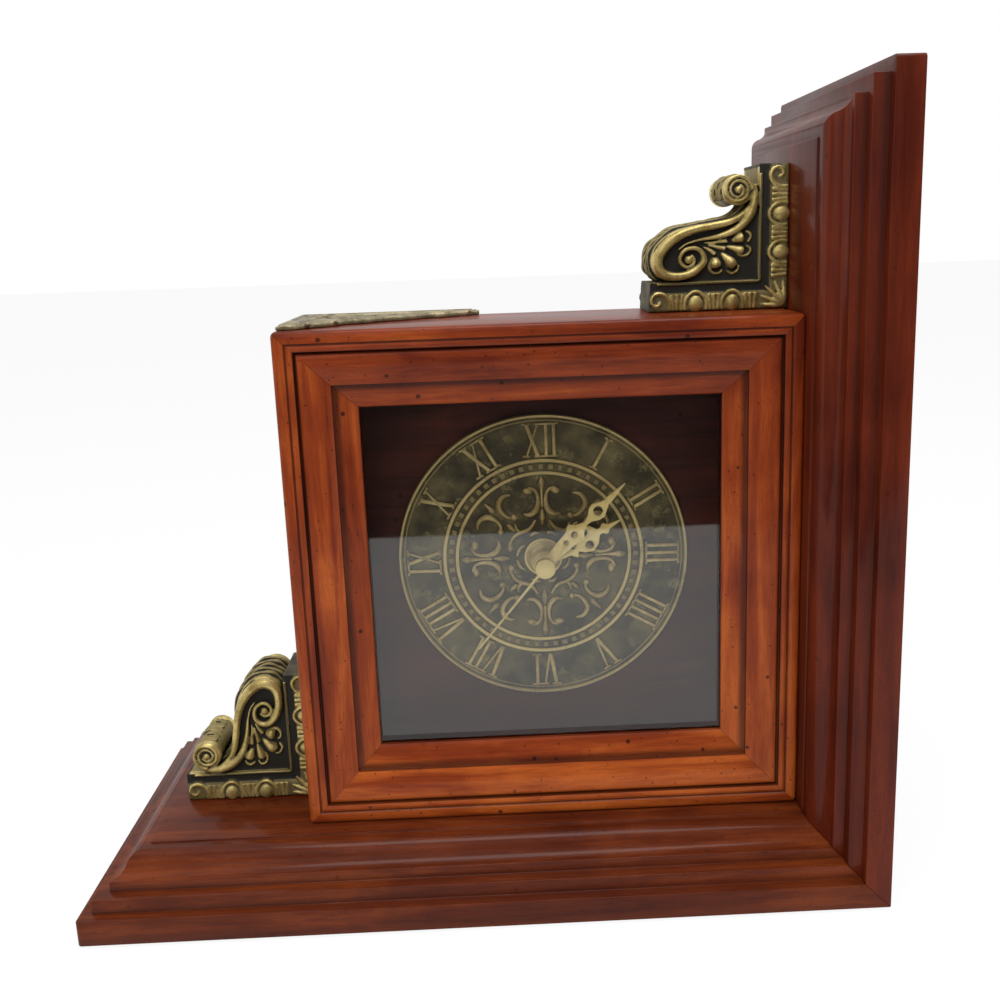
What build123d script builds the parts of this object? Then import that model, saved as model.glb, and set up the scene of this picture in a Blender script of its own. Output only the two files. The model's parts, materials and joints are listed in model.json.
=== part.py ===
"""A wooden desk clock: a framed square case on an L-shaped moulded stand.

The base and the upright are one moulded board section, mitred at the corner. The case
stands in their angle. It holds a cast dial behind glass and a quartz movement whose
three hand arbors turn one inside the other. Two cast scroll brackets fill the corners.

Sizes are millimetres. X runs to the right, Y to the back and Z up. The origin is the
middle of the footprint, on the surface that the clock stands on.
"""

import os
from math import cos, pi, radians, sin

from build123d import *

os.makedirs("parts", exist_ok=True)

# Stand boards and their moulded edge, from the outer face inwards
stand_width = 268.0
stand_height = 268.0
stand_depth = 126.0
board_thickness = 24.8
band_height = 8.8
band_corner_radius = 1.4
shoulder_width = 4.2
first_riser = 4.8
tread_width = 4.8
second_riser = 3.7
cyma_width = 9.2
lip_width = 2.1
lip_step = 0.6

# Mitre dowels and felt pads
dowel_radius = 3.0
dowel_length = 20.0
dowel_pitch = 60.0
dowel_count = 2
felt_thickness = 1.0
felt_size = 16.0
felt_inset = 20.0

# Case
case_width = 170.0
case_height = 170.0
case_depth = 53.0
case_setback = 26.7
panel_thickness = 8.0

# Front frame section, from the outer edge inwards
frame_width = 25.6
frame_thickness = 16.0
frame_edge_radius = 2.0
frame_band_width = 3.9
frame_groove_width = 0.5
frame_bead_width = 2.2
frame_quirk_width = 0.5
frame_quirk_depth = 2.4
frame_swell_width = 2.0
frame_swell_depth = 0.7
frame_face_width = 8.6
frame_face_fall = 2.0
frame_step_depth = 4.2
sight_bevel = 0.6
sight_depth = 7.0
rebate_width = 5.0
rebate_depth = 8.5

# Glass, its beads, the dial board and what holds them
glass_thickness = 2.0
glass_play = 0.5
bead_depth = 3.5
batten_width = 6.0
batten_depth = 6.0
dial_board_thickness = 3.0
block_size = 18.0

# Back panel
back_thickness = 3.0
back_opening = 61.0
back_opening_radius = 3.0
back_screw_radius = 1.5
back_screw_head_radius = 3.0
back_screw_head_height = 1.4
back_screw_length = 12.0
back_screw_inset = 6.5

# Dial
dial_radius = 51.5
dial_thickness = 2.5
dial_setback = 28.0
dial_rim_width = 1.6
dial_rim_height = 0.9
dial_ring_width = 1.1
dial_ring_height = 0.5
dial_ring_share = 0.69

# Movement case
movement_size = 56.0
movement_depth = 16.0
movement_corner_radius = 3.0
movement_wall = 1.3
movement_front_wall = 1.0
cover_thickness = 1.2
partition_thickness = 1.0
bridge_width = 3.2
post_size = 3.2
rubber_thickness = 0.8
rubber_radius = 11.0
middle_plate_width = 44.0
middle_plate_bottom = 9.0
middle_plate_top = 20.0

# Hand arbors, from the inside outwards
seconds_arbor_radius = 0.45
minute_pipe_radius = 1.6
hour_pipe_radius = 2.55
bush_radius = 3.9
bush_flange_radius = 5.0
bush_reach = 4.5
nut_size = 11.0
nut_thickness = 2.8
washer_radius = 6.8
washer_thickness = 0.5
hand_thickness = 0.5
hand_spacing = 3.5
first_hand_gap = 1.6
hand_hub_radius = 3.6

# Wheel train: tooth counts, centre distances and bearings
hour_teeth = 40
motion_pinion_teeth = 10
motion_teeth = 36
cannon_teeth = 12
centre_teeth = 64
third_pinion_teeth = 8
third_teeth = 60
seconds_pinion_teeth = 8
seconds_teeth = 48
intermediate_pinion_teeth = 8
intermediate_teeth = 40
rotor_pinion_teeth = 8
motion_distance = 9.6
third_distance = 9.2
intermediate_distance = 7.0
rotor_distance = 5.28
wheel_thickness = 0.8
pinion_overhang = 0.1
level_gap = 0.3
arbor_radius = 0.4
motion_arbor_radius = 0.75
clutch_radius = 1.2
pivot_depth = 0.8
middle_plate_thickness = 0.8

# Tooth height and depth in modules, and the root's width in pitches
wheel_tooth_shares = (0.85, 1.20, 0.66)
pinion_tooth_shares = (0.75, 1.25, 0.58)

# Flats round the small turned pieces and bores inside, which keep the mesh light
pin_sides = 12
barrel_sides = 24
slim_radius = 1.1

# Motor, circuit and battery
magnet_radius = 3.0
magnet_thickness = 1.8
stator_thickness = 1.0
stator_width = 28.0
stator_bore_gap = 0.5
stator_leg_width = 4.0
stator_bridge_height = 2.4
coil_length = 18.0
bobbin_wall = 0.6
bobbin_flange = 0.8
bobbin_flange_size = 6.2
winding_depth = 1.0
circuit_thickness = 0.9
circuit_width = 14.0
circuit_height = 24.0
chip_size = 4.6
chip_height = 0.9
crystal_radius = 1.0
crystal_length = 6.0
battery_radius = 7.25
battery_length = 49.2
battery_nub_radius = 2.7
battery_nub_length = 1.3
contact_thickness = 0.4
contact_width = 9.0
knob_radius = 5.0
knob_thickness = 2.2
knob_sides = 12

# Hands, their lengths and the angles they stand at, clockwise from the top
hour_hand_length = 31.0
minute_hand_length = 38.0
second_hand_length = 35.0
second_hand_width = 1.1
second_cap_radius = 3.5
second_cap_height = 1.9
hour_hand_angle = 62.5
minute_hand_angle = 45.5
second_hand_angle = 220.0

# Scroll brackets
bracket_width = 50.0
bracket_height = 48.0
bracket_depth = 28.0
bracket_leg = 9.7
bracket_leg_top = 8.0
bracket_panel_depth = 2.0
bracket_rib = 0.8
eye_radius = 3.0
eye_height = 1.0
upper_bracket_setback = 22.3
lower_bracket_setback = 19.8

# Corner ornament on the case
ornament_width = 64.0
ornament_depth = 48.0
ornament_thickness = 1.6
ornament_relief = 1.0
ornament_inset = 1.5
ornament_border = 4.5

# Clearances
running_gap = 0.05
seat_gap = 0.1
glue_gap = 0.2
hole_clearance = 0.3
end_gap = 0.3

# Places that follow from the sizes
stand_floor = felt_thickness
stand_right = stand_width / 2
stand_front = -stand_depth / 2
base_top = stand_floor + board_thickness
upright_face = stand_right - board_thickness
case_right = upright_face
case_left = case_right - case_width
case_bottom = base_top
case_top = case_bottom + case_height
case_front = stand_front + case_setback
case_back = case_front + case_depth
hand_x = (case_left + case_right) / 2
hand_z = (case_bottom + case_top) / 2
inner_width = case_width - 2 * panel_thickness
inner_height = case_height - 2 * panel_thickness
dial_front = case_front + dial_setback
dial_back = dial_front + dial_thickness
dial_board_back = dial_back + dial_board_thickness
movement_front = dial_board_back + rubber_thickness
back_front = case_back - back_thickness


def facing(depth, x=hand_x, z=hand_z):
    """A plane that faces the viewer at a depth, with its origin at x and z."""
    return Plane(origin=(x, depth, z), x_dir=(1, 0, 0), z_dir=(0, -1, 0))


def level(depth, at=(0, 0)):
    """A plane that faces the viewer, at a depth inside the movement, over an arbor."""
    return facing(movement_front + depth, hand_x + at[0], hand_z + at[1])


def polar(distance, angle):
    """A place at a distance and angle from the hand arbors, as the viewer sees it."""
    return (distance * cos(radians(angle)), distance * sin(radians(angle)))


def turned(front, rear, radius, at=(0, 0)):
    """A bar or bore along an arbor, in flats enough that it turns freely in its fit."""
    sides = barrel_sides if radius > slim_radius else pin_sides
    with BuildPart() as barrel:
        with BuildSketch(level(rear, at)):
            RegularPolygon(radius, sides)
        extrude(amount=rear - front)
    return barrel.part


def toothed(front, rear, teeth, module, shares, phase=0.0, at=(0, 0)):
    """A toothed disc of straight-flanked teeth, one of them centred on the phase."""
    tip, root, root_width = shares
    pitch_radius = module * teeth / 2
    pitch = 2 * pi / teeth
    corners = (
        (pitch_radius - root * module, -root_width / 2),
        (pitch_radius + tip * module, 0),
        (pitch_radius - root * module, root_width / 2),
    )
    points = [
        (radius * cos(angle), radius * sin(angle))
        for tooth in range(teeth)
        for radius, share in corners
        for angle in [radians(phase) + (tooth + share) * pitch]
    ]
    with BuildPart() as disc:
        with BuildSketch(level(rear, at)):
            with BuildLine():
                Polyline(*points, close=True)
            make_face()
        extrude(amount=rear - front)
    return disc.part


def peg_form(start, radius, length):
    """A straight peg or bore in flats, from a start height along +Z."""
    with BuildPart() as peg:
        with BuildSketch(Plane.XY.offset(start)):
            RegularPolygon(radius, pin_sides)
        extrude(amount=length)
    return peg.part


def keep(piece, name):
    """Labels a finished piece and writes it."""
    piece.part.label = name
    export_step(piece.part, f"parts/{name}.step")


# Stand


def moulding_section(plane, span):
    """The moulded edge in section, from the free edge inwards over a span."""
    cyma_start = shoulder_width + tread_width
    cyma_end = cyma_start + cyma_width
    lip_end = cyma_end + lip_width
    first_top = band_height + first_riser
    second_top = first_top + second_riser
    cyma_top = board_thickness - lip_step
    turn = ((cyma_start + cyma_end) / 2, (second_top + cyma_top) / 2)
    with BuildSketch(plane) as section:
        with BuildLine():
            Polyline(
                (0, 0),
                (0, band_height),
                (shoulder_width, band_height),
                (shoulder_width, first_top),
                (cyma_start, first_top),
                (cyma_start, second_top),
            )
            hollow = TangentArc((cyma_start, second_top), turn, tangent=(1, 0))
            TangentArc(turn, (cyma_end, cyma_top), tangent=hollow % 1)
            Polyline(
                (cyma_end, cyma_top),
                (lip_end, cyma_top),
                (lip_end, board_thickness),
                (span, board_thickness),
                (span, 0),
                (0, 0),
            )
        make_face()
    return section.sketch


def moulded_board(length):
    """A board along X from its mitre, moulded on both long edges and its free end."""
    front = -stand_depth / 2
    along = Plane(origin=(0, front, 0), x_dir=(0, 1, 0), z_dir=(1, 0, 0))
    across = Plane(origin=(length, front, 0), x_dir=(-1, 0, 0), z_dir=(0, 1, 0))
    middle = board_thickness / 2
    with BuildPart() as board:
        extrude(moulding_section(along, stand_depth / 2), amount=length)
        mirror(about=Plane.XZ)
        extrude(moulding_section(across, length), amount=stand_depth, mode=Mode.INTERSECT)
        fillet(board.edges().filter_by(Axis.Z).sort_by(Axis.X)[-2:], band_corner_radius)
        split(bisect_by=Plane(origin=(0, 0, 0), z_dir=(1, 0, -1)), keep=Keep.TOP)
        with BuildSketch(Plane(origin=(middle, 0, middle), x_dir=(0, 1, 0), z_dir=(1, 0, -1))):
            with GridLocations(dowel_pitch, 0, dowel_count, 1):
                RegularPolygon(dowel_radius + seat_gap, pin_sides)
        extrude(amount=dowel_length / 2 + end_gap, both=True, mode=Mode.SUBTRACT)
    return board.part


with BuildPart() as base_board:
    with Locations(Location((stand_right, 0, stand_floor), (0, 0, 180))):
        add(moulded_board(stand_width))
keep(base_board, "base_board")

with BuildPart() as upright_board:
    with Locations(Location((stand_right, 0, stand_floor), (0, -90, 0))):
        add(moulded_board(stand_height))
keep(upright_board, "upright_board")

mitre_middle = (stand_right - board_thickness / 2, 0, stand_floor + board_thickness / 2)
with BuildPart() as mitre_dowels:
    with BuildSketch(Plane(origin=mitre_middle, x_dir=(0, 1, 0), z_dir=(1, 0, 1))):
        with GridLocations(dowel_pitch, 0, dowel_count, 1):
            RegularPolygon(dowel_radius, pin_sides)
    extrude(amount=dowel_length / 2, both=True)
keep(mitre_dowels, "mitre_dowels")

with BuildPart() as felt_pads:
    with BuildSketch():
        with GridLocations(stand_width - 2 * felt_inset, stand_depth - 2 * felt_inset, 2, 2):
            Rectangle(felt_size, felt_size)
    extrude(amount=felt_thickness)
keep(felt_pads, "felt_pads")

# Case, made of mitred strips


def strip_plane(length):
    """The section plane at a strip's end: inwards to the right, towards the viewer up."""
    return Plane(origin=(-length / 2, 0, 0), x_dir=(0, 1, 0), z_dir=(1, 0, 0))


def mitred_strip(length, width, section):
    """A strip along X with mitred ends, its outer edge at y = 0 and its front at z = 0."""
    end = length / 2
    with BuildPart() as strip:
        extrude(section, amount=length)
        with BuildSketch():
            with BuildLine():
                Polyline(
                    (-end, 0), (end, 0), (end - width, width), (width - end, width), close=True
                )
            make_face()
        extrude(amount=case_depth, both=True, mode=Mode.INTERSECT)
    return strip.part


def four_sides(width, height, front):
    """The side names of a rectangle about the hand arbors, with place and length."""
    places = (
        ("bottom", (0, -height / 2, 0), width),
        ("right", (width / 2, 0, 0), height),
        ("top", (0, height / 2, 0), width),
        ("left", (-width / 2, 0, 0), height),
    )
    for turn, (side, corner, length) in enumerate(places):
        yield side, facing(front).location * Location(corner, (0, 0, 90 * turn)), length


def plain_section(length, width, front, rear):
    """A plain rectangular strip section, between two depths behind the strip's front."""
    with BuildSketch(strip_plane(length)) as section:
        with BuildLine():
            Polyline((0, -front), (width, -front), (width, -rear), (0, -rear), close=True)
        make_face()
    return section.sketch


def frame_section(length):
    """The moulded frame section with the glass rebate behind its sight edge."""
    groove_end = frame_band_width + frame_groove_width
    bead_end = groove_end + frame_bead_width
    quirk_end = bead_end + frame_quirk_width
    swell_end = quirk_end + frame_swell_width
    face_end = swell_end + frame_face_width
    face_fall = frame_swell_depth + frame_face_fall
    rebate_start = frame_width - rebate_width
    bead_crown = frame_groove_width / 2
    with BuildSketch(strip_plane(length)) as section:
        with BuildLine():
            Line((0, -frame_thickness), (0, -frame_edge_radius))
            edge = TangentArc(
                (0, -frame_edge_radius), (frame_edge_radius, 0), tangent=(0, 1)
            )
            Polyline(
                edge @ 1,
                (frame_band_width, 0),
                (frame_band_width + frame_groove_width / 2, -frame_groove_width),
                (groove_end, -frame_groove_width),
            )
            ThreePointArc(
                (groove_end, -frame_groove_width),
                ((groove_end + bead_end) / 2, -bead_crown / 2),
                (bead_end, -frame_groove_width),
            )
            Polyline(
                (bead_end, -frame_groove_width),
                (bead_end, -frame_quirk_depth),
                (quirk_end, -frame_quirk_depth),
            )
            swell = TangentArc(
                (quirk_end, -frame_quirk_depth), (swell_end, -frame_swell_depth), tangent=(0, 1)
            )
            ThreePointArc(
                swell @ 1,
                (
                    (swell_end + face_end) / 2,
                    -frame_swell_depth - frame_face_fall / 4,
                ),
                (face_end, -face_fall),
            )
            Polyline(
                (face_end, -face_fall),
                (face_end, -frame_step_depth),
                (frame_width - sight_bevel, sight_bevel - sight_depth),
                (frame_width, -sight_depth),
                (frame_width, -rebate_depth),
                (rebate_start, -rebate_depth),
                (rebate_start, -frame_thickness),
                (0, -frame_thickness),
            )
        make_face()
    return section.sketch


for side, place, length in four_sides(case_width, case_height, case_front):
    with BuildPart() as frame_rail:
        with Locations(place):
            add(mitred_strip(length, frame_width, frame_section(length)))
    keep(frame_rail, f"frame_{side}")

    with BuildPart() as case_panel:
        with Locations(place):
            section = plain_section(length, panel_thickness, frame_thickness, case_depth)
            add(mitred_strip(length, panel_thickness, section))
    keep(case_panel, f"case_{side}_panel")

opening_width = case_width - 2 * frame_width
opening_height = case_height - 2 * frame_width
rebate_opening_width = opening_width + 2 * rebate_width
rebate_opening_height = opening_height + 2 * rebate_width
glass_back = case_front + rebate_depth + glass_thickness

with BuildPart() as glass_pane:
    with BuildSketch(facing(glass_back)):
        Rectangle(rebate_opening_width - 2 * glass_play, rebate_opening_height - 2 * glass_play)
    extrude(amount=glass_thickness)
keep(glass_pane, "glass_pane")

with BuildPart() as glass_beads:
    for side, place, length in four_sides(
        rebate_opening_width - 2 * glue_gap, rebate_opening_height - 2 * glue_gap, glass_back
    ):
        with Locations(place):
            section = plain_section(length, rebate_width, 0, bead_depth)
            add(mitred_strip(length, rebate_width - glue_gap, section))
keep(glass_beads, "glass_beads")

with BuildPart() as dial_battens:
    for side, place, length in four_sides(inner_width, inner_height, dial_back - batten_depth):
        with Locations(place):
            section = plain_section(length, batten_width, 0, batten_depth)
            add(mitred_strip(length, batten_width, section))
keep(dial_battens, "dial_battens")

with BuildPart() as dial_board:
    with BuildSketch(facing(dial_board_back)):
        Rectangle(inner_width - 2 * glue_gap, inner_height - 2 * glue_gap)
        Circle(bush_radius + hole_clearance, mode=Mode.SUBTRACT)
    extrude(amount=dial_board_thickness)
keep(dial_board, "dial_board")

block_length = back_front - dial_board_back
back_screw_places = [
    facing(case_back).location * Location((across * inner_width / 2, up * inner_height / 2, 0))
    * Location((-across * back_screw_inset, -up * back_screw_inset, 0))
    for across in (-1, 1)
    for up in (-1, 1)
]
back_screw_hole = peg_form(0, back_screw_radius + seat_gap, back_screw_length + end_gap)
with BuildPart() as corner_blocks:
    with BuildSketch(facing(back_front)):
        for across in (-1, 1):
            for up in (-1, 1):
                x = across * inner_width / 2
                z = up * inner_height / 2
                with BuildLine():
                    Polyline(
                        (x, z), (x - across * block_size, z), (x, z - up * block_size), close=True
                    )
                make_face()
    extrude(amount=block_length)
    with Locations(*back_screw_places):
        add(back_screw_hole, mode=Mode.SUBTRACT)
keep(corner_blocks, "corner_blocks")

with BuildPart() as back_panel:
    with BuildSketch(facing(case_back)):
        Rectangle(inner_width - 2 * glue_gap, inner_height - 2 * glue_gap)
        RectangleRounded(back_opening, back_opening, back_opening_radius, mode=Mode.SUBTRACT)
    extrude(amount=back_thickness)
    with Locations(*back_screw_places):
        add(back_screw_hole, mode=Mode.SUBTRACT)
keep(back_panel, "back_panel")

with BuildPart() as back_screws:
    with Locations(*back_screw_places):
        add(peg_form(0, back_screw_radius, back_screw_length))
        add(peg_form(-back_screw_head_height, back_screw_head_radius, back_screw_head_height))
keep(back_screws, "back_screws")

# Dial

with BuildPart() as dial:
    with BuildSketch(facing(dial_back)):
        Circle(dial_radius)
    extrude(amount=dial_thickness)
    with BuildSketch(facing(dial_front)):
        Circle(dial_radius)
        Circle(dial_radius - dial_rim_width, mode=Mode.SUBTRACT)
    extrude(amount=dial_rim_height)
    with BuildSketch(facing(dial_front)):
        Circle(dial_ring_share * dial_radius + dial_ring_width / 2)
        Circle(dial_ring_share * dial_radius - dial_ring_width / 2, mode=Mode.SUBTRACT)
    extrude(amount=dial_ring_height)
    with BuildSketch(facing(dial_back)):
        Circle(bush_radius + hole_clearance)
    extrude(amount=dial_thickness, mode=Mode.SUBTRACT)
keep(dial, "dial")

# Movement levels, counted back from the front of its case
hour_level = movement_front_wall + level_gap
level_pitch = wheel_thickness + level_gap + pinion_overhang
motion_level = hour_level + level_pitch
centre_level = motion_level + level_pitch
third_level = centre_level + level_pitch
middle_plate_level = third_level + wheel_thickness + level_gap
seconds_level = middle_plate_level + middle_plate_thickness + level_gap
intermediate_level = seconds_level + level_pitch
magnet_level = intermediate_level + wheel_thickness + level_gap
boss_level = magnet_level + magnet_thickness + level_gap
cover_level = movement_depth - cover_thickness
dial_level = dial_front - movement_front
bush_level = dial_level - bush_reach
hour_hand_level = bush_level - first_hand_gap - hand_thickness
minute_hand_level = hour_hand_level - hand_spacing
second_hand_level = minute_hand_level - hand_spacing
knob_level = movement_depth + end_gap

# Arbor places and the module of each pair of wheels
motion_angle = 150.0
third_angle = 30.0
train_angle = 90.0
motion_at = polar(motion_distance, motion_angle)
third_at = polar(third_distance, third_angle)
intermediate_at = polar(intermediate_distance, train_angle)
rotor_at = polar(intermediate_distance + rotor_distance, train_angle)
motion_module = 2 * motion_distance / (cannon_teeth + motion_teeth)
hour_module = 2 * motion_distance / (hour_teeth + motion_pinion_teeth)
centre_module = 2 * third_distance / (centre_teeth + third_pinion_teeth)
third_module = 2 * third_distance / (third_teeth + seconds_pinion_teeth)
seconds_module = 2 * intermediate_distance / (seconds_teeth + intermediate_pinion_teeth)
rotor_module = 2 * rotor_distance / (intermediate_teeth + rotor_pinion_teeth)


def wheel(level_front, teeth, module, phase, at=(0, 0)):
    """A wheel's toothed disc at its level."""
    rear = level_front + wheel_thickness
    return toothed(level_front, rear, teeth, module, wheel_tooth_shares, phase, at)


def pinion(level_front, teeth, module, phase, at=(0, 0)):
    """A pinion a little longer than the wheel that it meshes with."""
    front = level_front - pinion_overhang
    rear = level_front + wheel_thickness + pinion_overhang
    return toothed(front, rear, teeth, module, pinion_tooth_shares, phase, at)


def gap_facing(angle, teeth):
    """The phase that turns a gap, not a tooth, back along a line of centres."""
    return angle + 180 + 180 / teeth


# Motion work, which the setting knob turns

with BuildPart() as hour_wheel:
    add(wheel(hour_level, hour_teeth, hour_module, gap_facing(motion_angle + 180, hour_teeth)))
    add(turned(hour_hand_level - end_gap, hour_level, hour_pipe_radius))
    add(
        turned(
            hour_hand_level - end_gap,
            hour_level + wheel_thickness,
            minute_pipe_radius + running_gap,
        ),
        mode=Mode.SUBTRACT,
    )
keep(hour_wheel, "hour_wheel")

with BuildPart() as cannon_pinion:
    add(pinion(motion_level, cannon_teeth, motion_module, motion_angle))
    add(turned(minute_hand_level - end_gap, motion_level, minute_pipe_radius))
    add(turned(motion_level, centre_level + wheel_thickness + pinion_overhang, clutch_radius))
    add(
        turned(
            minute_hand_level - end_gap,
            centre_level + wheel_thickness + pinion_overhang,
            seconds_arbor_radius + running_gap,
        ),
        mode=Mode.SUBTRACT,
    )
keep(cannon_pinion, "cannon_pinion")

with BuildPart() as motion_wheel:
    phase = gap_facing(motion_angle, motion_teeth)
    add(wheel(motion_level, motion_teeth, motion_module, phase, motion_at))
    add(pinion(hour_level, motion_pinion_teeth, hour_module, motion_angle + 180, motion_at))
    pivot_front = movement_front_wall - pivot_depth
    arbor_end = knob_level + knob_thickness / 2
    add(turned(pivot_front, arbor_end, motion_arbor_radius, motion_at))
keep(motion_wheel, "motion_wheel")

with BuildPart() as setting_knob:
    with BuildSketch(level(knob_level + knob_thickness, motion_at)):
        RegularPolygon(knob_radius, knob_sides)
    extrude(amount=knob_thickness)
    add(
        turned(
            knob_level,
            knob_level + knob_thickness / 2 + end_gap,
            motion_arbor_radius + running_gap,
            motion_at,
        ),
        mode=Mode.SUBTRACT,
    )
keep(setting_knob, "setting_knob")

# Going train, from the centre wheel down to the rotor

with BuildPart() as centre_wheel:
    add(wheel(centre_level, centre_teeth, centre_module, third_angle))
    add(
        turned(centre_level, centre_level + wheel_thickness, clutch_radius + running_gap),
        mode=Mode.SUBTRACT,
    )
keep(centre_wheel, "centre_wheel")

with BuildPart() as third_wheel:
    add(wheel(third_level, third_teeth, third_module, third_angle + 180, third_at))
    add(
        pinion(
            centre_level,
            third_pinion_teeth,
            centre_module,
            gap_facing(third_angle, third_pinion_teeth),
            third_at,
        )
    )
    add(
        turned(
            movement_front_wall - pivot_depth,
            middle_plate_level + pivot_depth,
            arbor_radius,
            third_at,
        )
    )
keep(third_wheel, "third_wheel")

with BuildPart() as seconds_wheel:
    add(wheel(seconds_level, seconds_teeth, seconds_module, train_angle))
    add(
        pinion(
            third_level,
            seconds_pinion_teeth,
            third_module,
            gap_facing(third_angle + 180, seconds_pinion_teeth),
        )
    )
    add(
        turned(
            second_hand_level - second_cap_height / 2,
            boss_level + pivot_depth,
            seconds_arbor_radius,
        )
    )
keep(seconds_wheel, "seconds_wheel")

with BuildPart() as intermediate_wheel:
    add(
        wheel(
            intermediate_level, intermediate_teeth, rotor_module, train_angle, intermediate_at
        )
    )
    add(
        pinion(
            seconds_level,
            intermediate_pinion_teeth,
            seconds_module,
            gap_facing(train_angle, intermediate_pinion_teeth),
            intermediate_at,
        )
    )
    add(
        turned(
            seconds_level - pivot_depth, boss_level + pivot_depth, arbor_radius, intermediate_at
        )
    )
keep(intermediate_wheel, "intermediate_wheel")

with BuildPart() as rotor_pinion:
    add(
        pinion(
            intermediate_level,
            rotor_pinion_teeth,
            rotor_module,
            gap_facing(train_angle, rotor_pinion_teeth),
            rotor_at,
        )
    )
    add(turned(seconds_level - pivot_depth, boss_level + pivot_depth, arbor_radius, rotor_at))
keep(rotor_pinion, "rotor_pinion")

with BuildPart() as rotor_magnet:
    add(turned(magnet_level, magnet_level + magnet_thickness, magnet_radius, rotor_at))
    add(
        turned(
            magnet_level, magnet_level + magnet_thickness, arbor_radius + running_gap, rotor_at
        ),
        mode=Mode.SUBTRACT,
    )
keep(rotor_magnet, "rotor_magnet")

# Hands


def hand_plane(depth, angle):
    """A plane facing the viewer over the hand arbors, its Y axis along a hand."""
    lean = radians(angle)
    return Plane(
        origin=(hand_x, movement_front + depth, hand_z),
        x_dir=(cos(lean), 0, -sin(lean)),
        z_dir=(0, -1, 0),
    )


# A hand's outline: shares of its length along it, and half its width there
hour_outline_shares = (
    (0.06, 0.060), (0.30, 0.085), (0.36, 0.150), (0.40, 0.085), (0.46, 0.135),
    (0.55, 0.165), (0.64, 0.120), (0.70, 0.036), (0.74, 0.034), (0.77, 0.065),
    (0.80, 0.065), (0.83, 0.030), (1.00, 0.004),
)
hour_hole_shares = ((0.545, -0.080, 0.048), (0.545, 0.080, 0.048), (0.37, 0.0, 0.040))
minute_outline_shares = (
    (0.05, 0.045), (0.34, 0.070), (0.40, 0.105), (0.44, 0.050), (0.51, 0.018),
    (0.56, 0.028), (0.62, 0.068), (0.67, 0.078), (0.74, 0.042), (0.78, 0.024),
    (0.80, 0.030), (1.00, 0.003),
)
minute_hole_shares = ((0.665, 0.0, 0.042), (0.37, 0.0, 0.032), (0.27, 0.0, 0.026))


def pierced_hand(depth, angle, length, bore, outline_shares, hole_shares):
    """A flat pierced hand with a round hub, its front face at a depth."""
    left = [(-half * length, along * length) for along, half in outline_shares]
    right = [(-x, y) for x, y in reversed(left)]
    with BuildPart() as hand:
        with BuildSketch(hand_plane(depth + hand_thickness, angle)):
            with BuildLine():
                Polyline(*left, *right, close=True)
            make_face()
            Circle(hand_hub_radius)
            Circle(bore, mode=Mode.SUBTRACT)
            for along, across, radius in hole_shares:
                with Locations((across * length, along * length)):
                    Circle(radius * length, mode=Mode.SUBTRACT)
        extrude(amount=hand_thickness)
    return hand.part


with BuildPart() as hour_hand:
    add(
        pierced_hand(
            hour_hand_level,
            hour_hand_angle,
            hour_hand_length,
            hour_pipe_radius + running_gap,
            hour_outline_shares,
            hour_hole_shares,
        )
    )
keep(hour_hand, "hour_hand")

with BuildPart() as minute_hand:
    add(
        pierced_hand(
            minute_hand_level,
            minute_hand_angle,
            minute_hand_length,
            minute_pipe_radius + running_gap,
            minute_outline_shares,
            minute_hole_shares,
        )
    )
keep(minute_hand, "minute_hand")

with BuildPart() as second_hand:
    with BuildSketch(hand_plane(second_hand_level + hand_thickness, second_hand_angle)):
        with BuildLine():
            Polyline(
                (-second_hand_width / 2, 0),
                (second_hand_width / 2, 0),
                (second_hand_width / 4, second_hand_length),
                (-second_hand_width / 4, second_hand_length),
                close=True,
            )
        make_face()
    extrude(amount=hand_thickness)
    add(
        turned(
            second_hand_level - second_cap_height,
            second_hand_level + hand_thickness,
            second_cap_radius,
        )
    )
    add(
        turned(
            second_hand_level - second_cap_height / 2 - end_gap,
            second_hand_level + hand_thickness,
            seconds_arbor_radius + running_gap,
        ),
        mode=Mode.SUBTRACT,
    )
keep(second_hand, "second_hand")

# Movement case, its cover and what clamps it to the dial

half_size = movement_size / 2
inner_size = movement_size - 2 * movement_wall
battery_height = -half_size + movement_wall + battery_radius + hole_clearance
partition_top = battery_height + battery_radius + hole_clearance + partition_thickness
post_places = [
    (across * (middle_plate_width - post_size) / 2, up)
    for across in (-1, 1)
    for up in (post_size / 2 - middle_plate_bottom, middle_plate_top - post_size / 2)
]


def inner_room(plane, low, high):
    """A rectangle across the inside of the movement case, between two heights."""
    with BuildSketch(plane) as room:
        with Locations((0, (low + high) / 2)):
            Rectangle(inner_size, high - low)
    return room.sketch


def posts(front, rear, places):
    """Square posts along the movement's depth, from their front to their rear level."""
    with BuildPart() as group:
        with BuildSketch(level(rear)):
            with Locations(*places):
                Rectangle(post_size, post_size)
        extrude(amount=rear - front)
    return group.part


with BuildPart() as movement_case:
    with BuildSketch(level(cover_level)):
        RectangleRounded(movement_size, movement_size, movement_corner_radius)
    extrude(amount=cover_level)
    hollow_depth = cover_level - movement_front_wall
    room_top = inner_size / 2
    extrude(
        inner_room(level(cover_level), partition_top, room_top),
        amount=hollow_depth,
        mode=Mode.SUBTRACT,
    )
    extrude(
        inner_room(level(cover_level), -room_top, partition_top - partition_thickness),
        amount=hollow_depth,
        mode=Mode.SUBTRACT,
    )
    add(posts(movement_front_wall, middle_plate_level, post_places))
    add(turned(0, movement_front_wall, bush_flange_radius + seat_gap), mode=Mode.SUBTRACT)
    for place, radius in ((third_at, arbor_radius), (motion_at, motion_arbor_radius)):
        add(turned(0, movement_front_wall, radius + running_gap, place), mode=Mode.SUBTRACT)
keep(movement_case, "movement_case")

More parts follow.
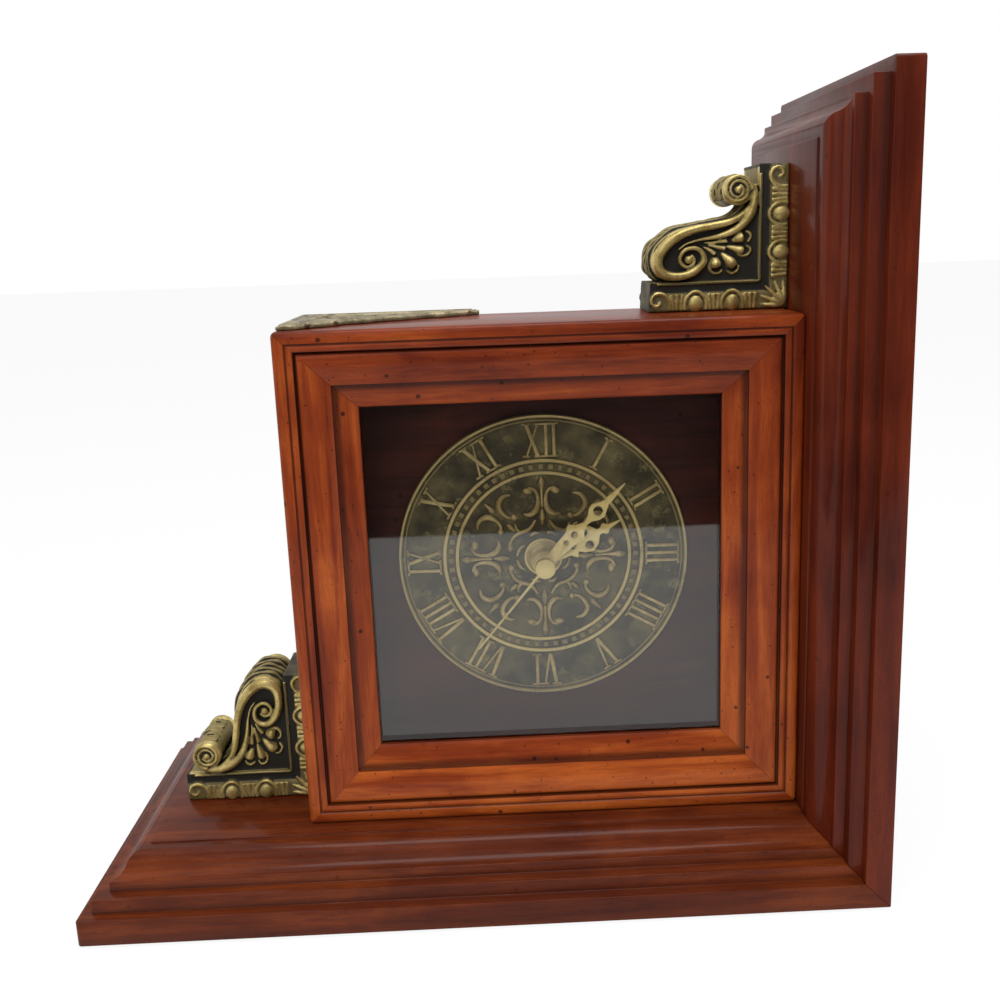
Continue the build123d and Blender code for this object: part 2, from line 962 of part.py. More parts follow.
with BuildPart() as middle_plate:
    with BuildSketch(level(middle_plate_level + middle_plate_thickness)):
        with Locations((0, (middle_plate_top - middle_plate_bottom) / 2)):
            Rectangle(middle_plate_width, middle_plate_top + middle_plate_bottom)
        RegularPolygon(third_module * seconds_pinion_teeth, barrel_sides, mode=Mode.SUBTRACT)
        with Locations(motion_at):
            RegularPolygon(motion_arbor_radius + hole_clearance, pin_sides, mode=Mode.SUBTRACT)
        with Locations(third_at, intermediate_at, rotor_at):
            RegularPolygon(arbor_radius + running_gap, pin_sides, mode=Mode.SUBTRACT)
    extrude(amount=middle_plate_thickness)
keep(middle_plate, "middle_plate")

circuit_level = cover_level - circuit_thickness
circuit_at = (
    (circuit_width - inner_size) / 2 + hole_clearance,
    middle_plate_top - circuit_height / 2,
)

with BuildPart() as movement_cover:
    with BuildSketch(level(movement_depth)):
        RectangleRounded(movement_size, movement_size, movement_corner_radius)
    extrude(amount=cover_thickness)
    extrude(
        inner_room(level(movement_depth), -inner_size / 2, partition_top - partition_thickness),
        amount=cover_thickness,
        mode=Mode.SUBTRACT,
    )
    with BuildSketch(level(cover_level)):
        with Locations((0, rotor_at[1] / 2)):
            Rectangle(bridge_width, rotor_at[1] + bridge_width)
    extrude(amount=cover_level - boss_level)
    pivot_end = boss_level + pivot_depth + end_gap
    for place, radius in (
        ((0, 0), seconds_arbor_radius),
        (intermediate_at, arbor_radius),
        (rotor_at, arbor_radius),
    ):
        add(turned(boss_level, pivot_end, radius + running_gap, place), mode=Mode.SUBTRACT)
    add(
        turned(cover_level, movement_depth, motion_arbor_radius + running_gap, motion_at),
        mode=Mode.SUBTRACT,
    )
keep(movement_cover, "movement_cover")

with BuildPart() as threaded_bush:
    add(turned(bush_level, movement_front_wall, bush_radius))
    add(turned(0, movement_front_wall, bush_flange_radius))
    add(
        turned(bush_level, movement_front_wall, hour_pipe_radius + running_gap),
        mode=Mode.SUBTRACT,
    )
keep(threaded_bush, "threaded_bush")

with BuildPart() as rubber_washer:
    add(turned(-rubber_thickness, 0, rubber_radius))
    add(turned(-rubber_thickness, 0, bush_radius + seat_gap), mode=Mode.SUBTRACT)
keep(rubber_washer, "rubber_washer")

with BuildPart() as dial_washer:
    add(turned(dial_level - washer_thickness, dial_level, washer_radius))
    add(
        turned(dial_level - washer_thickness, dial_level, bush_radius + seat_gap),
        mode=Mode.SUBTRACT,
    )
keep(dial_washer, "dial_washer")

with BuildPart() as dial_nut:
    with BuildSketch(level(dial_level - washer_thickness)):
        RegularPolygon(nut_size / 2, 6, major_radius=False)
        Circle(bush_radius + seat_gap, mode=Mode.SUBTRACT)
    extrude(amount=nut_thickness)
keep(dial_nut, "dial_nut")

# Stepping motor

stator_level = magnet_level + (magnet_thickness - stator_thickness) / 2
coil_at = (0, (inner_size - bobbin_flange_size) / 2 - hole_clearance)
stator_low = rotor_at[1] - magnet_radius - stator_bore_gap - stator_thickness / 2
stator_high = coil_at[1] + stator_bridge_height / 2
stator_window_low = rotor_at[1] + magnet_radius + stator_bore_gap + stator_thickness
stator_window_high = coil_at[1] - stator_bridge_height / 2
stator_post_places = [
    (across * (stator_width - stator_leg_width) / 2, rotor_at[1]) for across in (-1, 1)
]

with BuildPart() as stator:
    with BuildSketch(level(stator_level + stator_thickness)):
        with Locations((0, (stator_low + stator_high) / 2)):
            Rectangle(stator_width, stator_high - stator_low)
        with Locations((0, (stator_window_low + stator_window_high) / 2)):
            Rectangle(
                stator_width - 2 * stator_leg_width,
                stator_window_high - stator_window_low,
                mode=Mode.SUBTRACT,
            )
        with Locations(rotor_at):
            Circle(magnet_radius + stator_bore_gap, mode=Mode.SUBTRACT)
    extrude(amount=stator_thickness)
keep(stator, "stator")

with BuildPart() as stator_posts:
    add(posts(middle_plate_level + middle_plate_thickness, stator_level, stator_post_places))
keep(stator_posts, "stator_posts")

coil_middle = stator_level + stator_thickness / 2
bore_width = stator_bridge_height + 2 * seat_gap
bore_depth = stator_thickness + 2 * seat_gap
tube_width = bore_width + 2 * bobbin_wall
tube_depth = bore_depth + 2 * bobbin_wall


def coil_plane(offset):
    """A section plane across the coil, at an offset from its middle."""
    return Plane(
        origin=(hand_x + coil_at[0] + offset, movement_front + coil_middle, hand_z + coil_at[1]),
        x_dir=(0, 1, 0),
        z_dir=(1, 0, 0),
    )


with BuildPart() as coil_bobbin:
    with BuildSketch(coil_plane(-coil_length / 2)):
        Rectangle(tube_depth, tube_width)
    extrude(amount=coil_length)
    for start in (-coil_length / 2, coil_length / 2 - bobbin_flange):
        with BuildSketch(coil_plane(start)):
            Rectangle(bobbin_flange_size, bobbin_flange_size)
        extrude(amount=bobbin_flange)
    with BuildSketch(coil_plane(-coil_length / 2)):
        Rectangle(bore_depth, bore_width)
    extrude(amount=coil_length, mode=Mode.SUBTRACT)
keep(coil_bobbin, "coil_bobbin")

with BuildPart() as coil_winding:
    with BuildSketch(coil_plane(bobbin_flange - coil_length / 2)):
        RectangleRounded(
            tube_depth + 2 * winding_depth, tube_width + 2 * winding_depth, winding_depth
        )
        Rectangle(tube_depth, tube_width, mode=Mode.SUBTRACT)
    extrude(amount=coil_length - 2 * bobbin_flange)
keep(coil_winding, "coil_winding")

# Circuit, battery and its contacts

with BuildPart() as circuit_board:
    with BuildSketch(level(circuit_level + circuit_thickness, circuit_at)):
        Rectangle(circuit_width, circuit_height)
    extrude(amount=circuit_thickness)
    with BuildSketch(level(circuit_level, circuit_at)):
        Rectangle(chip_size, chip_size)
    extrude(amount=chip_height)
keep(circuit_board, "circuit_board")

with BuildPart() as quartz_crystal:
    crystal_at = (circuit_at[0], circuit_at[1] + circuit_height / 2 - crystal_length)
    with BuildSketch(
        Plane(
            origin=(
                hand_x + crystal_at[0],
                movement_front + circuit_level - crystal_radius,
                hand_z + crystal_at[1],
            ),
            z_dir=(0, 0, 1),
        )
    ):
        Circle(crystal_radius)
    extrude(amount=crystal_length)
keep(quartz_crystal, "quartz_crystal")

battery_level = movement_front_wall + hole_clearance + battery_radius
battery_end = inner_size / 2 - contact_thickness - seat_gap


def battery_plane(offset):
    """A section plane across the battery, at an offset from the hand arbors."""
    return Plane(
        origin=(hand_x + offset, movement_front + battery_level, hand_z + battery_height),
        x_dir=(0, 1, 0),
        z_dir=(1, 0, 0),
    )


with BuildPart() as battery:
    nub_start = battery_end - battery_nub_length
    with BuildSketch(battery_plane(nub_start - battery_length)):
        Circle(battery_radius)
    extrude(amount=battery_length)
    with BuildSketch(battery_plane(nub_start)):
        Circle(battery_nub_radius)
    extrude(amount=battery_nub_length)
keep(battery, "battery")

with BuildPart() as positive_contact:
    with BuildSketch(battery_plane(battery_end + seat_gap)):
        Rectangle(contact_width, contact_width)
    extrude(amount=contact_thickness)
keep(positive_contact, "positive_contact")

with BuildPart() as negative_contact:
    wall_x = -inner_size / 2
    reach = nub_start - battery_length - seat_gap - wall_x
    rise = contact_width / 2
    with BuildSketch(level(battery_level + contact_width / 2, (wall_x, battery_height))):
        with BuildLine():
            Polyline(
                (0, -rise),
                (contact_thickness, -rise),
                (contact_thickness, rise - contact_thickness),
                (reach, 0),
                (reach, contact_thickness),
                (contact_thickness, rise),
                (0, rise),
                close=True,
            )
        make_face()
    extrude(amount=contact_width)
keep(negative_contact, "negative_contact")

# Scroll brackets: u runs out from the leg's seat, v up from the foot's seat

bracket_edge_shares = (
    ((0.935, 0.0), (1.01, 0.084), (0.90, 0.163)),
    ((0.85, 0.190), (0.97, 0.358), (0.84, 0.527)),
    ((0.84, 0.527), (0.714, 0.569), (0.58, 0.592)),
    ((0.58, 0.592), (0.475, 0.623), (0.41, 0.7125)),
    ((0.41, 0.7125), (0.41, 0.915), (0.232, 0.869)),
)
bracket_panel_shares = (
    ((0.64, 0.245), (0.568, 0.290), (0.552, 0.358)),
    ((0.59, 0.465), (0.39, 0.5375), (0.226, 0.704)),
)
eye_share = (0.67, 0.358)


def scaled(share):
    """A bracket outline point from its shares of the width and height."""
    return (share[0] * bracket_width, share[1] * bracket_height)


def draw_arcs(arc_shares):
    """Draws three-point arcs, joined by a line where one starts away from the last."""
    last = arc_shares[0][0]
    for start, through, end in arc_shares:
        if last != start:
            Line(scaled(last), scaled(start))
        ThreePointArc(scaled(start), scaled(through), scaled(end))
        last = end


def scroll_bracket():
    """The cast bracket in its own frame, its mid-depth at z = 0, both faces carved."""
    half = bracket_depth / 2
    leg_top = (bracket_leg_top, bracket_height)
    panel_corner = (bracket_leg + bracket_rib, bracket_leg + bracket_rib)
    with BuildPart() as bracket:
        with BuildSketch(Plane.XY.offset(-half)):
            with BuildLine():
                draw_arcs(bracket_edge_shares)
                Polyline(
                    scaled(bracket_edge_shares[-1][-1]),
                    leg_top,
                    (0, bracket_height),
                    (0, 0),
                    scaled(bracket_edge_shares[0][0]),
                )
            make_face()
        extrude(amount=bracket_depth)
        with BuildSketch(Plane.XY.offset(half)):
            with BuildLine():
                low = scaled(bracket_panel_shares[0][0])
                top = scaled(bracket_panel_shares[-1][-1])
                draw_arcs(bracket_panel_shares)
                Polyline(
                    top, (panel_corner[0], top[1]), panel_corner, (low[0], panel_corner[1]), low
                )
            make_face()
        extrude(amount=-bracket_panel_depth, mode=Mode.SUBTRACT)
        with BuildSketch(Plane.XY.offset(half)):
            with Locations(scaled(eye_share)):
                Circle(eye_radius)
        extrude(amount=eye_height)
        split(bisect_by=Plane.XY, keep=Keep.TOP)
        mirror(about=Plane.XY)
    return bracket.part


bracket = scroll_bracket()
with BuildPart() as upper_bracket:
    upper_middle = case_front + upper_bracket_setback + bracket_depth / 2
    with Locations(
        Plane(origin=(upright_face, upper_middle, case_top), x_dir=(-1, 0, 0), z_dir=(0, 1, 0))
    ):
        add(bracket)
keep(upper_bracket, "upper_bracket")

with BuildPart() as lower_bracket:
    lower_middle = case_front + lower_bracket_setback + bracket_depth / 2
    with Locations(
        Plane(origin=(case_left, lower_middle, base_top), x_dir=(0, 0, 1), z_dir=(0, -1, 0))
    ):
        add(bracket)
keep(lower_bracket, "lower_bracket")

# Corner ornament, scalloped along its free edge

ornament_node_shares = (
    (0.0, 1.0), (0.17, 0.86), (0.33, 0.64), (0.52, 0.47), (0.74, 0.29), (1.0, 0.12),
)
ornament_bulge_share = 0.07


def draw_ornament(inset):
    """Draws the ornament's outline, drawn in by an inset from its full size."""
    width = ornament_width - 2 * inset
    depth = ornament_depth - 2 * inset
    nodes = [(inset + a * width, inset + b * depth) for a, b in ornament_node_shares]
    for (x1, y1), (x2, y2) in zip(nodes, nodes[1:]):
        middle = (
            (x1 + x2) / 2 + ornament_bulge_share * width / 2,
            (y1 + y2) / 2 + ornament_bulge_share * depth / 2,
        )
        ThreePointArc((x1, y1), middle, (x2, y2))
    Polyline(nodes[-1], (inset + width, inset), (inset, inset), nodes[0])


ornament_plane = Plane(
    origin=(case_left + ornament_inset, case_back - ornament_inset, case_top),
    x_dir=(1, 0, 0),
    z_dir=(0, 0, -1),
)
with BuildPart() as top_ornament:
    full_height = ornament_thickness + ornament_relief
    for inset, height in ((0, ornament_thickness), (ornament_border, full_height)):
        with BuildSketch(ornament_plane):
            with BuildLine():
                draw_ornament(inset)
            make_face()
        extrude(amount=-height)
keep(top_ornament, "top_ornament")
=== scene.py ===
"""A wooden desk clock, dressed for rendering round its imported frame.

The stand and the case are lacquered wood with moulded edges, two cast brass scroll
brackets fill the corners, and a cast dial with pierced hands sits behind the glass.

Lengths in the classes are millimetres and become metres where a mesh is placed. X runs
to the right, Y to the back and Z up, as in the frame.
"""

import json
import logging
import math
from contextlib import contextmanager
from dataclasses import dataclass, field
from enum import Enum
from typing import Dict, Iterator, List, Optional, Sequence, Tuple, Union

import bpy
from mathutils import Matrix, Vector
from mathutils.bvhtree import BVHTree

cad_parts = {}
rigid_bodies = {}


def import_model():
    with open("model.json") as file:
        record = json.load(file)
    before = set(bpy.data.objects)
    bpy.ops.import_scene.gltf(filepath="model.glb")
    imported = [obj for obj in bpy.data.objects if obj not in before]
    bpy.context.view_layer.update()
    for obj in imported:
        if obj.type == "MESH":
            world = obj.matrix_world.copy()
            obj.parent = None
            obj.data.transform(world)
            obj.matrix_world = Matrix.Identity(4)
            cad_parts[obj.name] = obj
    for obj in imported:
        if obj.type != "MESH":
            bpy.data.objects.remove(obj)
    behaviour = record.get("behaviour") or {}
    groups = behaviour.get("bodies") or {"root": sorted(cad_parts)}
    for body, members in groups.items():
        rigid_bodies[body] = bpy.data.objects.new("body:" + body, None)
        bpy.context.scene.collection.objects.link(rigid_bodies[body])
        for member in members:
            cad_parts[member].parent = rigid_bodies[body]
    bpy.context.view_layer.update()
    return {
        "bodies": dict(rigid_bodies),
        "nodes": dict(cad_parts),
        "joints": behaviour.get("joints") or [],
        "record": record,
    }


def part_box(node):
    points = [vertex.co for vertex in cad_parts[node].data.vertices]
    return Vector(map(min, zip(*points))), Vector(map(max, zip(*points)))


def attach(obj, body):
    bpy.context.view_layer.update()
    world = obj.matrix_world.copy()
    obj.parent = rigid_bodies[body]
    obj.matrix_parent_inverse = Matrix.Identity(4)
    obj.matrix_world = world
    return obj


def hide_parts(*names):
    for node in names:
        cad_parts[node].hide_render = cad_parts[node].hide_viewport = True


MM = 0.001
MERGE = 1e-6
SHARP_ANGLE = 24.0
FLAT_ANGLE = 0.6
RAY_START = 0.03
WHITE_LEVEL = 255
SRGB_END, SRGB_SLOPE, SRGB_SHIFT, SRGB_SCALE, SRGB_POWER = 0.04, 12.92, 0.055, 1.055, 2.4
LINE_STEPS = 4
THINNEST = 0.05
ORIGIN = (0.0, 0.0, 0.0)
BACKWARD = (0.0, 1.0, 0.0)
UP = (0.0, 0.0, 1.0)
Point = Tuple[float, float, float]
Place = Tuple[float, float]
Colour = Tuple[float, float, float, float]
log = logging.getLogger("desk_clock")


class Grain(Enum):
    """The way that a board's grain runs, as the stretch of its pattern on each axis."""

    ACROSS = (0.09, 1.0, 1.0)
    UPWARD = (1.0, 1.0, 0.09)


class Body(Enum):
    """The moving bodies of the frame that new pieces ride on."""

    CLOCK = "clock"
    HOURS = "hours"
    MINUTES = "minutes"
    SECONDS = "seconds"


def tone(red: int, green: int, blue: int) -> Colour:
    """A linear colour with full alpha, from screen values of 0 to 255 on the sRGB curve."""
    shares = [value / WHITE_LEVEL for value in (red, green, blue)]
    linear = [
        share / SRGB_SLOPE
        if share <= SRGB_END
        else ((share + SRGB_SHIFT) / SRGB_SCALE) ** SRGB_POWER
        for share in shares
    ]
    return (linear[0], linear[1], linear[2], 1.0)


# Shader maths: sockets that a node's names don't tell apart are picked by number

OBJECT_COORDINATES = 3
ATTRIBUTE_FACTOR = 2
HEIGHT_AXIS = 2
MIX_FACTOR, MIX_FIRST, MIX_SECOND, MIX_RESULT = 0, 6, 7, 2
CAMERA_RAY, GLOSSY_RAY, TRANSMISSION_RAY = 0, 3, 6


class Signal:
    """A socket of a material's tree, on which sums are written as expressions."""

    def __init__(self, recipe: "Recipe", socket: Optional[bpy.types.NodeSocket]) -> None:
        """Keeps the socket, if the node has one, and the recipe that adds nodes behind it."""
        self.recipe = recipe
        self.socket = socket

    def _sum(self, operation: str, first: "Value", second: "Value") -> "Signal":
        """Adds the Math node of one operation on two values, and gives its result."""
        return self.recipe.node("ShaderNodeMath", {"operation": operation}, {0: first, 1: second})

    def __add__(self, other: "Value") -> "Signal":
        """The sum of two values."""
        return self._sum("ADD", self, other)

    __radd__ = __add__

    def __sub__(self, other: "Value") -> "Signal":
        """The value less another."""
        return self._sum("SUBTRACT", self, other)

    def __rsub__(self, other: "Value") -> "Signal":
        """Another value less this one."""
        return self._sum("SUBTRACT", other, self)

    def __mul__(self, other: "Value") -> "Signal":
        """The product of two values."""
        return self._sum("MULTIPLY", self, other)


Value = Union[Signal, float, Colour, Point]


class Recipe:
    """The node tree of a material, or of the world, while it is being written."""

    def __init__(self, name: str, owner: Optional[bpy.types.ID] = None) -> None:
        """Starts an empty tree on a new material, or on an owner that already exists."""
        self.owner = owner or bpy.data.materials.new(name)
        self.owner.use_nodes = True
        self.tree = self.owner.node_tree
        self.tree.nodes.clear()

    def node(
        self,
        kind: str,
        settings: Dict[str, object],
        inputs: Dict[Union[int, str], Value],
        output: int = 0,
    ) -> Signal:
        """Adds a node.

        Args:
            kind: The node's type.
            settings: Its settings, set first; stops gives a colour ramp's stops.
            inputs: The value or link of each socket, by number or name.
            output: The number of the output that is wanted.

        Returns:
            That output.
        """
        node = self.tree.nodes.new(kind)
        for key, value in settings.items():
            if key == "stops":
                while len(node.color_ramp.elements) < len(value):
                    node.color_ramp.elements.new(1.0)
                for stop, (place, colour) in zip(node.color_ramp.elements, value):
                    stop.position = place
                    stop.color = colour
            else:
                setattr(node, key, value)
        for key, value in inputs.items():
            if isinstance(value, Signal):
                self.tree.links.new(value.socket, node.inputs[key])
            else:
                node.inputs[key].default_value = value
        return Signal(self, node.outputs[output] if len(node.outputs) else None)

    def coordinates(
        self, stretch: Point = (1.0, 1.0, 1.0), shift: Point = (0.0, 0.0, 0.0)
    ) -> Signal:
        """The piece's own coordinates in metres, stretched and then moved on each axis."""
        values = {
            "Vector": self.node("ShaderNodeTexCoord", {}, {}, OBJECT_COORDINATES),
            "Scale": stretch,
            "Location": shift,
        }
        return self.node("ShaderNodeMapping", {}, values)

    def noise(
        self,
        vector: Signal,
        scale: float,
        detail: float = 3.0,
        roughness: float = 0.5,
        warp: float = 0.0,
    ) -> Signal:
        """Cloudy noise from 0 to 1.

        Args:
            vector: Where it is read.
            scale: Its cells per metre.
            detail: Its octaves.
            roughness: How much the finer octaves count.
            warp: How far it is distorted.

        Returns:
            The noise.
        """
        values = {
            "Vector": vector,
            "Scale": scale,
            "Detail": detail,
            "Roughness": roughness,
            "Distortion": warp,
        }
        return self.node("ShaderNodeTexNoise", {}, values)

    def spots(self, vector: Signal, scale: float) -> Signal:
        """The distance to the nearest of scattered points, in cells."""
        return self.node("ShaderNodeTexVoronoi", {}, {"Vector": vector, "Scale": scale})

    def band(self, value: Signal, low: float, high: float) -> Signal:
        """Maps a value's band to 0 to 1, smoothly.

        Args:
            value: The value.
            low: Where it becomes 0.
            high: Where it becomes 1, which may lie below low.

        Returns:
            The mapped value.
        """
        if low > high:
            return 1.0 - self.band(value, high, low)
        settings = {"interpolation_type": "SMOOTHSTEP"}
        values = {"Value": value, "From Min": low, "From Max": high}
        return self.node("ShaderNodeMapRange", settings, values)

    def ramp(self, value: Signal, stops: Sequence[Tuple[float, Colour]]) -> Signal:
        """A colour that follows a value through stops."""
        return self.node("ShaderNodeValToRGB", {"stops": stops}, {"Fac": value})

    def blend(self, factor: Value, first: Value, second: Value) -> Signal:
        """Mixes two colours, the second as much as the factor says."""
        values = {MIX_FACTOR: factor, MIX_FIRST: first, MIX_SECOND: second}
        return self.node("ShaderNodeMix", {"data_type": "RGBA"}, values, MIX_RESULT)

    def mark(self, name: str) -> Signal:
        """A number that the mesh carries under a name."""
        return self.node("ShaderNodeAttribute", {"attribute_name": name}, {}, ATTRIBUTE_FACTOR)

    def relief(self, height: Signal, depth: float, strength: float) -> Signal:
        """Bump from a height of 0 to 1, where 1 stands for a depth in millimetres."""
        values = {"Height": height, "Distance": depth * MM, "Strength": strength}
        return self.node("ShaderNodeBump", {}, values)

    def seen(self) -> Signal:
        """1 for rays from the camera, a mirror or a pane, and 0 for those that light a surface."""
        camera, glossy, transmission = [
            self.node("ShaderNodeLightPath", {}, {}, ray)
            for ray in (CAMERA_RAY, GLOSSY_RAY, TRANSMISSION_RAY)
        ]
        settings = {"operation": "ADD", "use_clamp": True}
        return self.node("ShaderNodeMath", settings, {0: camera + glossy, 1: transmission})

    def mixed(self, factor: Value, first: Signal, second: Signal) -> Signal:
        """Mixes two shaders, the second as much as the factor says."""
        return self.node("ShaderNodeMixShader", {}, {0: factor, 1: first, 2: second})

    def surface(self, **sockets: Value) -> Signal:
        """The principled shader, its sockets named with underscores for spaces."""
        named = {key.replace("_", " "): value for key, value in sockets.items()}
        return self.node("ShaderNodeBsdfPrincipled", {}, named)

    def close(self, shader: Signal) -> bpy.types.Material:
        """Links the finished shader and gives the material."""
        self.node("ShaderNodeOutputMaterial", {}, {"Surface": shader})
        return self.owner


# Finishes


@dataclass(frozen=True)
class Finish:
    """What every finish shares: a name, and a shader that it writes into a recipe."""

    name: str

    def shader(self, recipe: Recipe) -> Signal:
        """Writes the finish's shader."""
        raise NotImplementedError

    def make(self) -> bpy.types.Material:
        """Makes the material."""
        recipe = Recipe(self.name)
        return recipe.close(self.shader(recipe))


@dataclass(frozen=True)
class LacqueredWood(Finish):
    """Red-brown stained wood under satin lacquer, whose dark glaze colour marks its pores and
    specks and also paints shade into its creases and corners.
    """

    grain: Grain
    dark: Colour = tone(80, 26, 9)
    middle: Colour = tone(114, 45, 15)
    light: Colour = tone(152, 74, 26)
    glaze_and_shade: Colour = tone(26, 8, 5)
    wear_and_highlight_tone: Colour = tone(178, 100, 56)
    shift: Point = (0.0, 0.0, 0.0)
    coat: float = 0.2
    coat_roughness: float = 0.12
    sheen_level: float = 0.06
    distress: float = 1.0
    top_darkening: float = 0.8
    top_darkening_level: float = 0.11
    broad_scale: float = 22.0
    streak_scale: float = 150.0
    fine_scale: float = 950.0
    grit_scale: float = 1500.0
    fleck_scales: Place = (105.0, 260.0)

    def flecks(self, recipe: Recipe, place: Signal) -> Signal:
        """The small round marks of distressing, in two sizes."""
        large, small = self.fleck_scales
        dents = recipe.band(recipe.spots(place, large), 0.105, 0.055)
        elsewhere = recipe.coordinates(shift=(0.2, 0.5, 0.3))
        specks = recipe.band(recipe.spots(elsewhere, small), 0.13, 0.06)
        return (dents * 0.8 + specks * 0.6) * self.distress

    def shader(self, recipe: Recipe) -> Signal:
        """Writes the shader."""
        plain = recipe.coordinates(shift=self.shift)
        along = recipe.coordinates(self.grain.value, self.shift)
        broad = recipe.noise(plain, self.broad_scale, 3.0, 0.55, 0.4)
        streaks = recipe.noise(along, self.streak_scale, 4.0, 0.6, 0.6)
        fine = recipe.noise(along, self.fine_scale, 3.0, 0.6)
        grit = recipe.noise(plain, self.grit_scale, 2.0, 0.6)
        figure = broad * 0.34 + streaks * 0.48 + fine * 0.18
        whole = {"Vector": recipe.coordinates()}
        height = recipe.node("ShaderNodeSeparateXYZ", {}, whole, HEIGHT_AXIS)
        # The figure is shifted darker towards the top and lighter towards the bottom
        figure = figure + (self.top_darkening_level - height) * self.top_darkening
        colour = recipe.ramp(figure, ((0.36, self.dark), (0.49, self.middle), (0.63, self.light)))
        pores = recipe.band(fine, 0.56, 0.70)
        dust = recipe.band(grit, 0.56, 0.72) * recipe.band(broad, 0.45, 0.60)
        flecks = self.flecks(recipe, plain)
        for stain in (pores * 0.28, dust * 0.35, flecks):
            colour = recipe.blend(stain, colour, self.glaze_and_shade)
        # Wear with a painted highlight: rounded convex edges are lightened in patches
        wear_and_highlight_mask = recipe.mark("worn") * recipe.band(recipe.noise(plain, 90.0, 3.0, 0.6), 0.44, 0.66)
        colour = recipe.blend(wear_and_highlight_mask * 0.4, colour, self.wear_and_highlight_tone)
        # Dirt and painted shade: rounded concave edges are darkened towards the glaze colour in
        # patches
        grime = recipe.mark("grime") * recipe.band(recipe.noise(plain, 60.0, 3.0, 0.6), 0.15, 0.50)
        colour = recipe.blend(grime * 0.88, colour, self.glaze_and_shade)
        # Painted shade: points that the hollow mark finds in a recess are darkened towards the
        # glaze colour
        crease = recipe.band(recipe.mark("hollow") + streaks * 0.2, 0.34, 0.86)
        colour = recipe.blend(crease * 0.68, colour, self.glaze_and_shade)
        roughness = 0.32 + broad * 0.14 + fine * 0.08 + flecks * 0.15
        swell = fine * 0.3 + recipe.noise(plain, 40.0, 2.0) * 0.4 - flecks * 0.5 - pores * 0.3
        return recipe.surface(
            Base_Color=colour,
            Roughness=roughness,
            Specular_IOR_Level=self.sheen_level,
            Coat_Weight=self.coat,
            Coat_Roughness=self.coat_roughness,
            Normal=recipe.relief(swell, 0.10, 0.3),
        )


@dataclass(frozen=True)
class PlainWood(Finish):
    """Unfinished pale wood, as on the back panel and the blocks."""

    grain: Grain
    early: Colour = tone(188, 150, 106)
    late: Colour = tone(146, 104, 66)
    fibre_shade: Colour = tone(96, 62, 36)
    ring_stretch: Point = (0.035, 1.0, 1.0)

    def shader(self, recipe: Recipe) -> Signal:
        """Writes the shader."""
        rings = recipe.noise(recipe.coordinates(self.ring_stretch), 190.0, 5.0, 0.62, 0.3)
        fibre = recipe.noise(recipe.coordinates(self.grain.value), 1300.0, 3.0, 0.6)
        colour = recipe.ramp(rings, ((0.36, self.early), (0.66, self.late)))
        colour = recipe.blend(recipe.band(fibre, 0.52, 0.72) * 0.4, colour, self.fibre_shade)
        return recipe.surface(
            Base_Color=colour,
            Roughness=0.62 + fibre * 0.15,
            Normal=recipe.relief(fibre + rings * 0.4, 0.15, 0.4),
        )


@dataclass(frozen=True)
class CastBrass(Finish):
    """Cast brass with a dark patina that stays in the recesses."""

    bright: Colour
    middle: Colour
    patina: Colour
    roughness: float = 0.36
    metallic: float = 0.8
    grit: float = 0.5

    def shader(self, recipe: Recipe) -> Signal:
        """Writes the shader."""
        place = recipe.coordinates()
        cloud = recipe.noise(place, 130.0, 4.0, 0.6)
        speckle = recipe.noise(place, 900.0, 3.0, 0.65)
        hollow = recipe.mark("hollow")
        # The hollow mark is patina on the brackets and plaque; on the dial's relief it is also
        # painted shade at its foot
        cover = recipe.band(hollow + cloud * 0.45 - 0.22, 0.10, 0.62)
        mottle = cloud * 0.7 + speckle * 0.3
        colour = recipe.ramp(mottle, ((0.40, self.middle), (0.60, self.bright)))
        colour = recipe.blend(recipe.band(speckle, 0.58, 0.72) * 0.55, colour, self.patina)
        colour = recipe.blend(cover, colour, self.patina)
        return recipe.surface(
            Base_Color=colour,
            Metallic=self.metallic - cover * 0.55,
            Roughness=self.roughness + cover * 0.28 + speckle * 0.14,
            Normal=recipe.relief(speckle * 0.6 + cloud * 0.4, 0.18 * self.grit, 0.6),
        )


@dataclass(frozen=True)
class DialBronze(Finish):
    """The dial's plate: mottled bronze in the fields, brass on what is raised."""

    field_dark: Colour = tone(66, 58, 37)
    field_light: Colour = tone(124, 109, 72)
    patch: Colour = tone(158, 140, 92)
    raised: Colour = tone(222, 194, 134)

    def shader(self, recipe: Recipe) -> Signal:
        """Writes the shader."""
        place = recipe.coordinates()
        cloud = recipe.noise(place, 70.0, 4.0, 0.6)
        patch = recipe.noise(recipe.coordinates(shift=(0.3, 0.1, 0.5)), 130.0, 3.0, 0.65)
        speckle = recipe.noise(place, 1200.0, 3.0, 0.6)
        colour = recipe.blend(recipe.band(cloud, 0.35, 0.70), self.field_dark, self.field_light)
        spots = recipe.band(patch, 0.52, 0.66) * recipe.band(speckle, 0.35, 0.60)
        colour = recipe.blend(spots * 0.8, colour, self.patch)
        top = recipe.mark("raised") * recipe.band(cloud + speckle * 0.5, 0.50, 0.70)
        top = recipe.mark("raised") * 0.55 + top * 0.45
        colour = recipe.blend(top, colour, self.raised)
        return recipe.surface(
            Base_Color=colour,
            Metallic=0.45 + top * 0.35,
            Roughness=0.5 - top * 0.14 + speckle * 0.12,
            Normal=recipe.relief(cloud * 0.7 + speckle * 0.3, 0.35, 0.5),
        )


@dataclass(frozen=True)
class PolishedMetal(Finish):
    """Smooth metal with faint rubbed variation."""

    colour: Colour
    shade: Colour
    roughness: float
    metallic: float

    def shader(self, recipe: Recipe) -> Signal:
        """Writes the shader."""
        place = recipe.coordinates()
        cloud = recipe.noise(place, 220.0, 4.0, 0.6)
        fine = recipe.noise(place, 2600.0, 2.0, 0.5)
        colour = recipe.blend(recipe.band(cloud, 0.40, 0.68), self.colour, self.shade)
        return recipe.surface(
            Base_Color=colour,
            Metallic=self.metallic,
            Roughness=self.roughness + cloud * 0.12,
            Normal=recipe.relief(fine, 0.02, 0.4),
        )


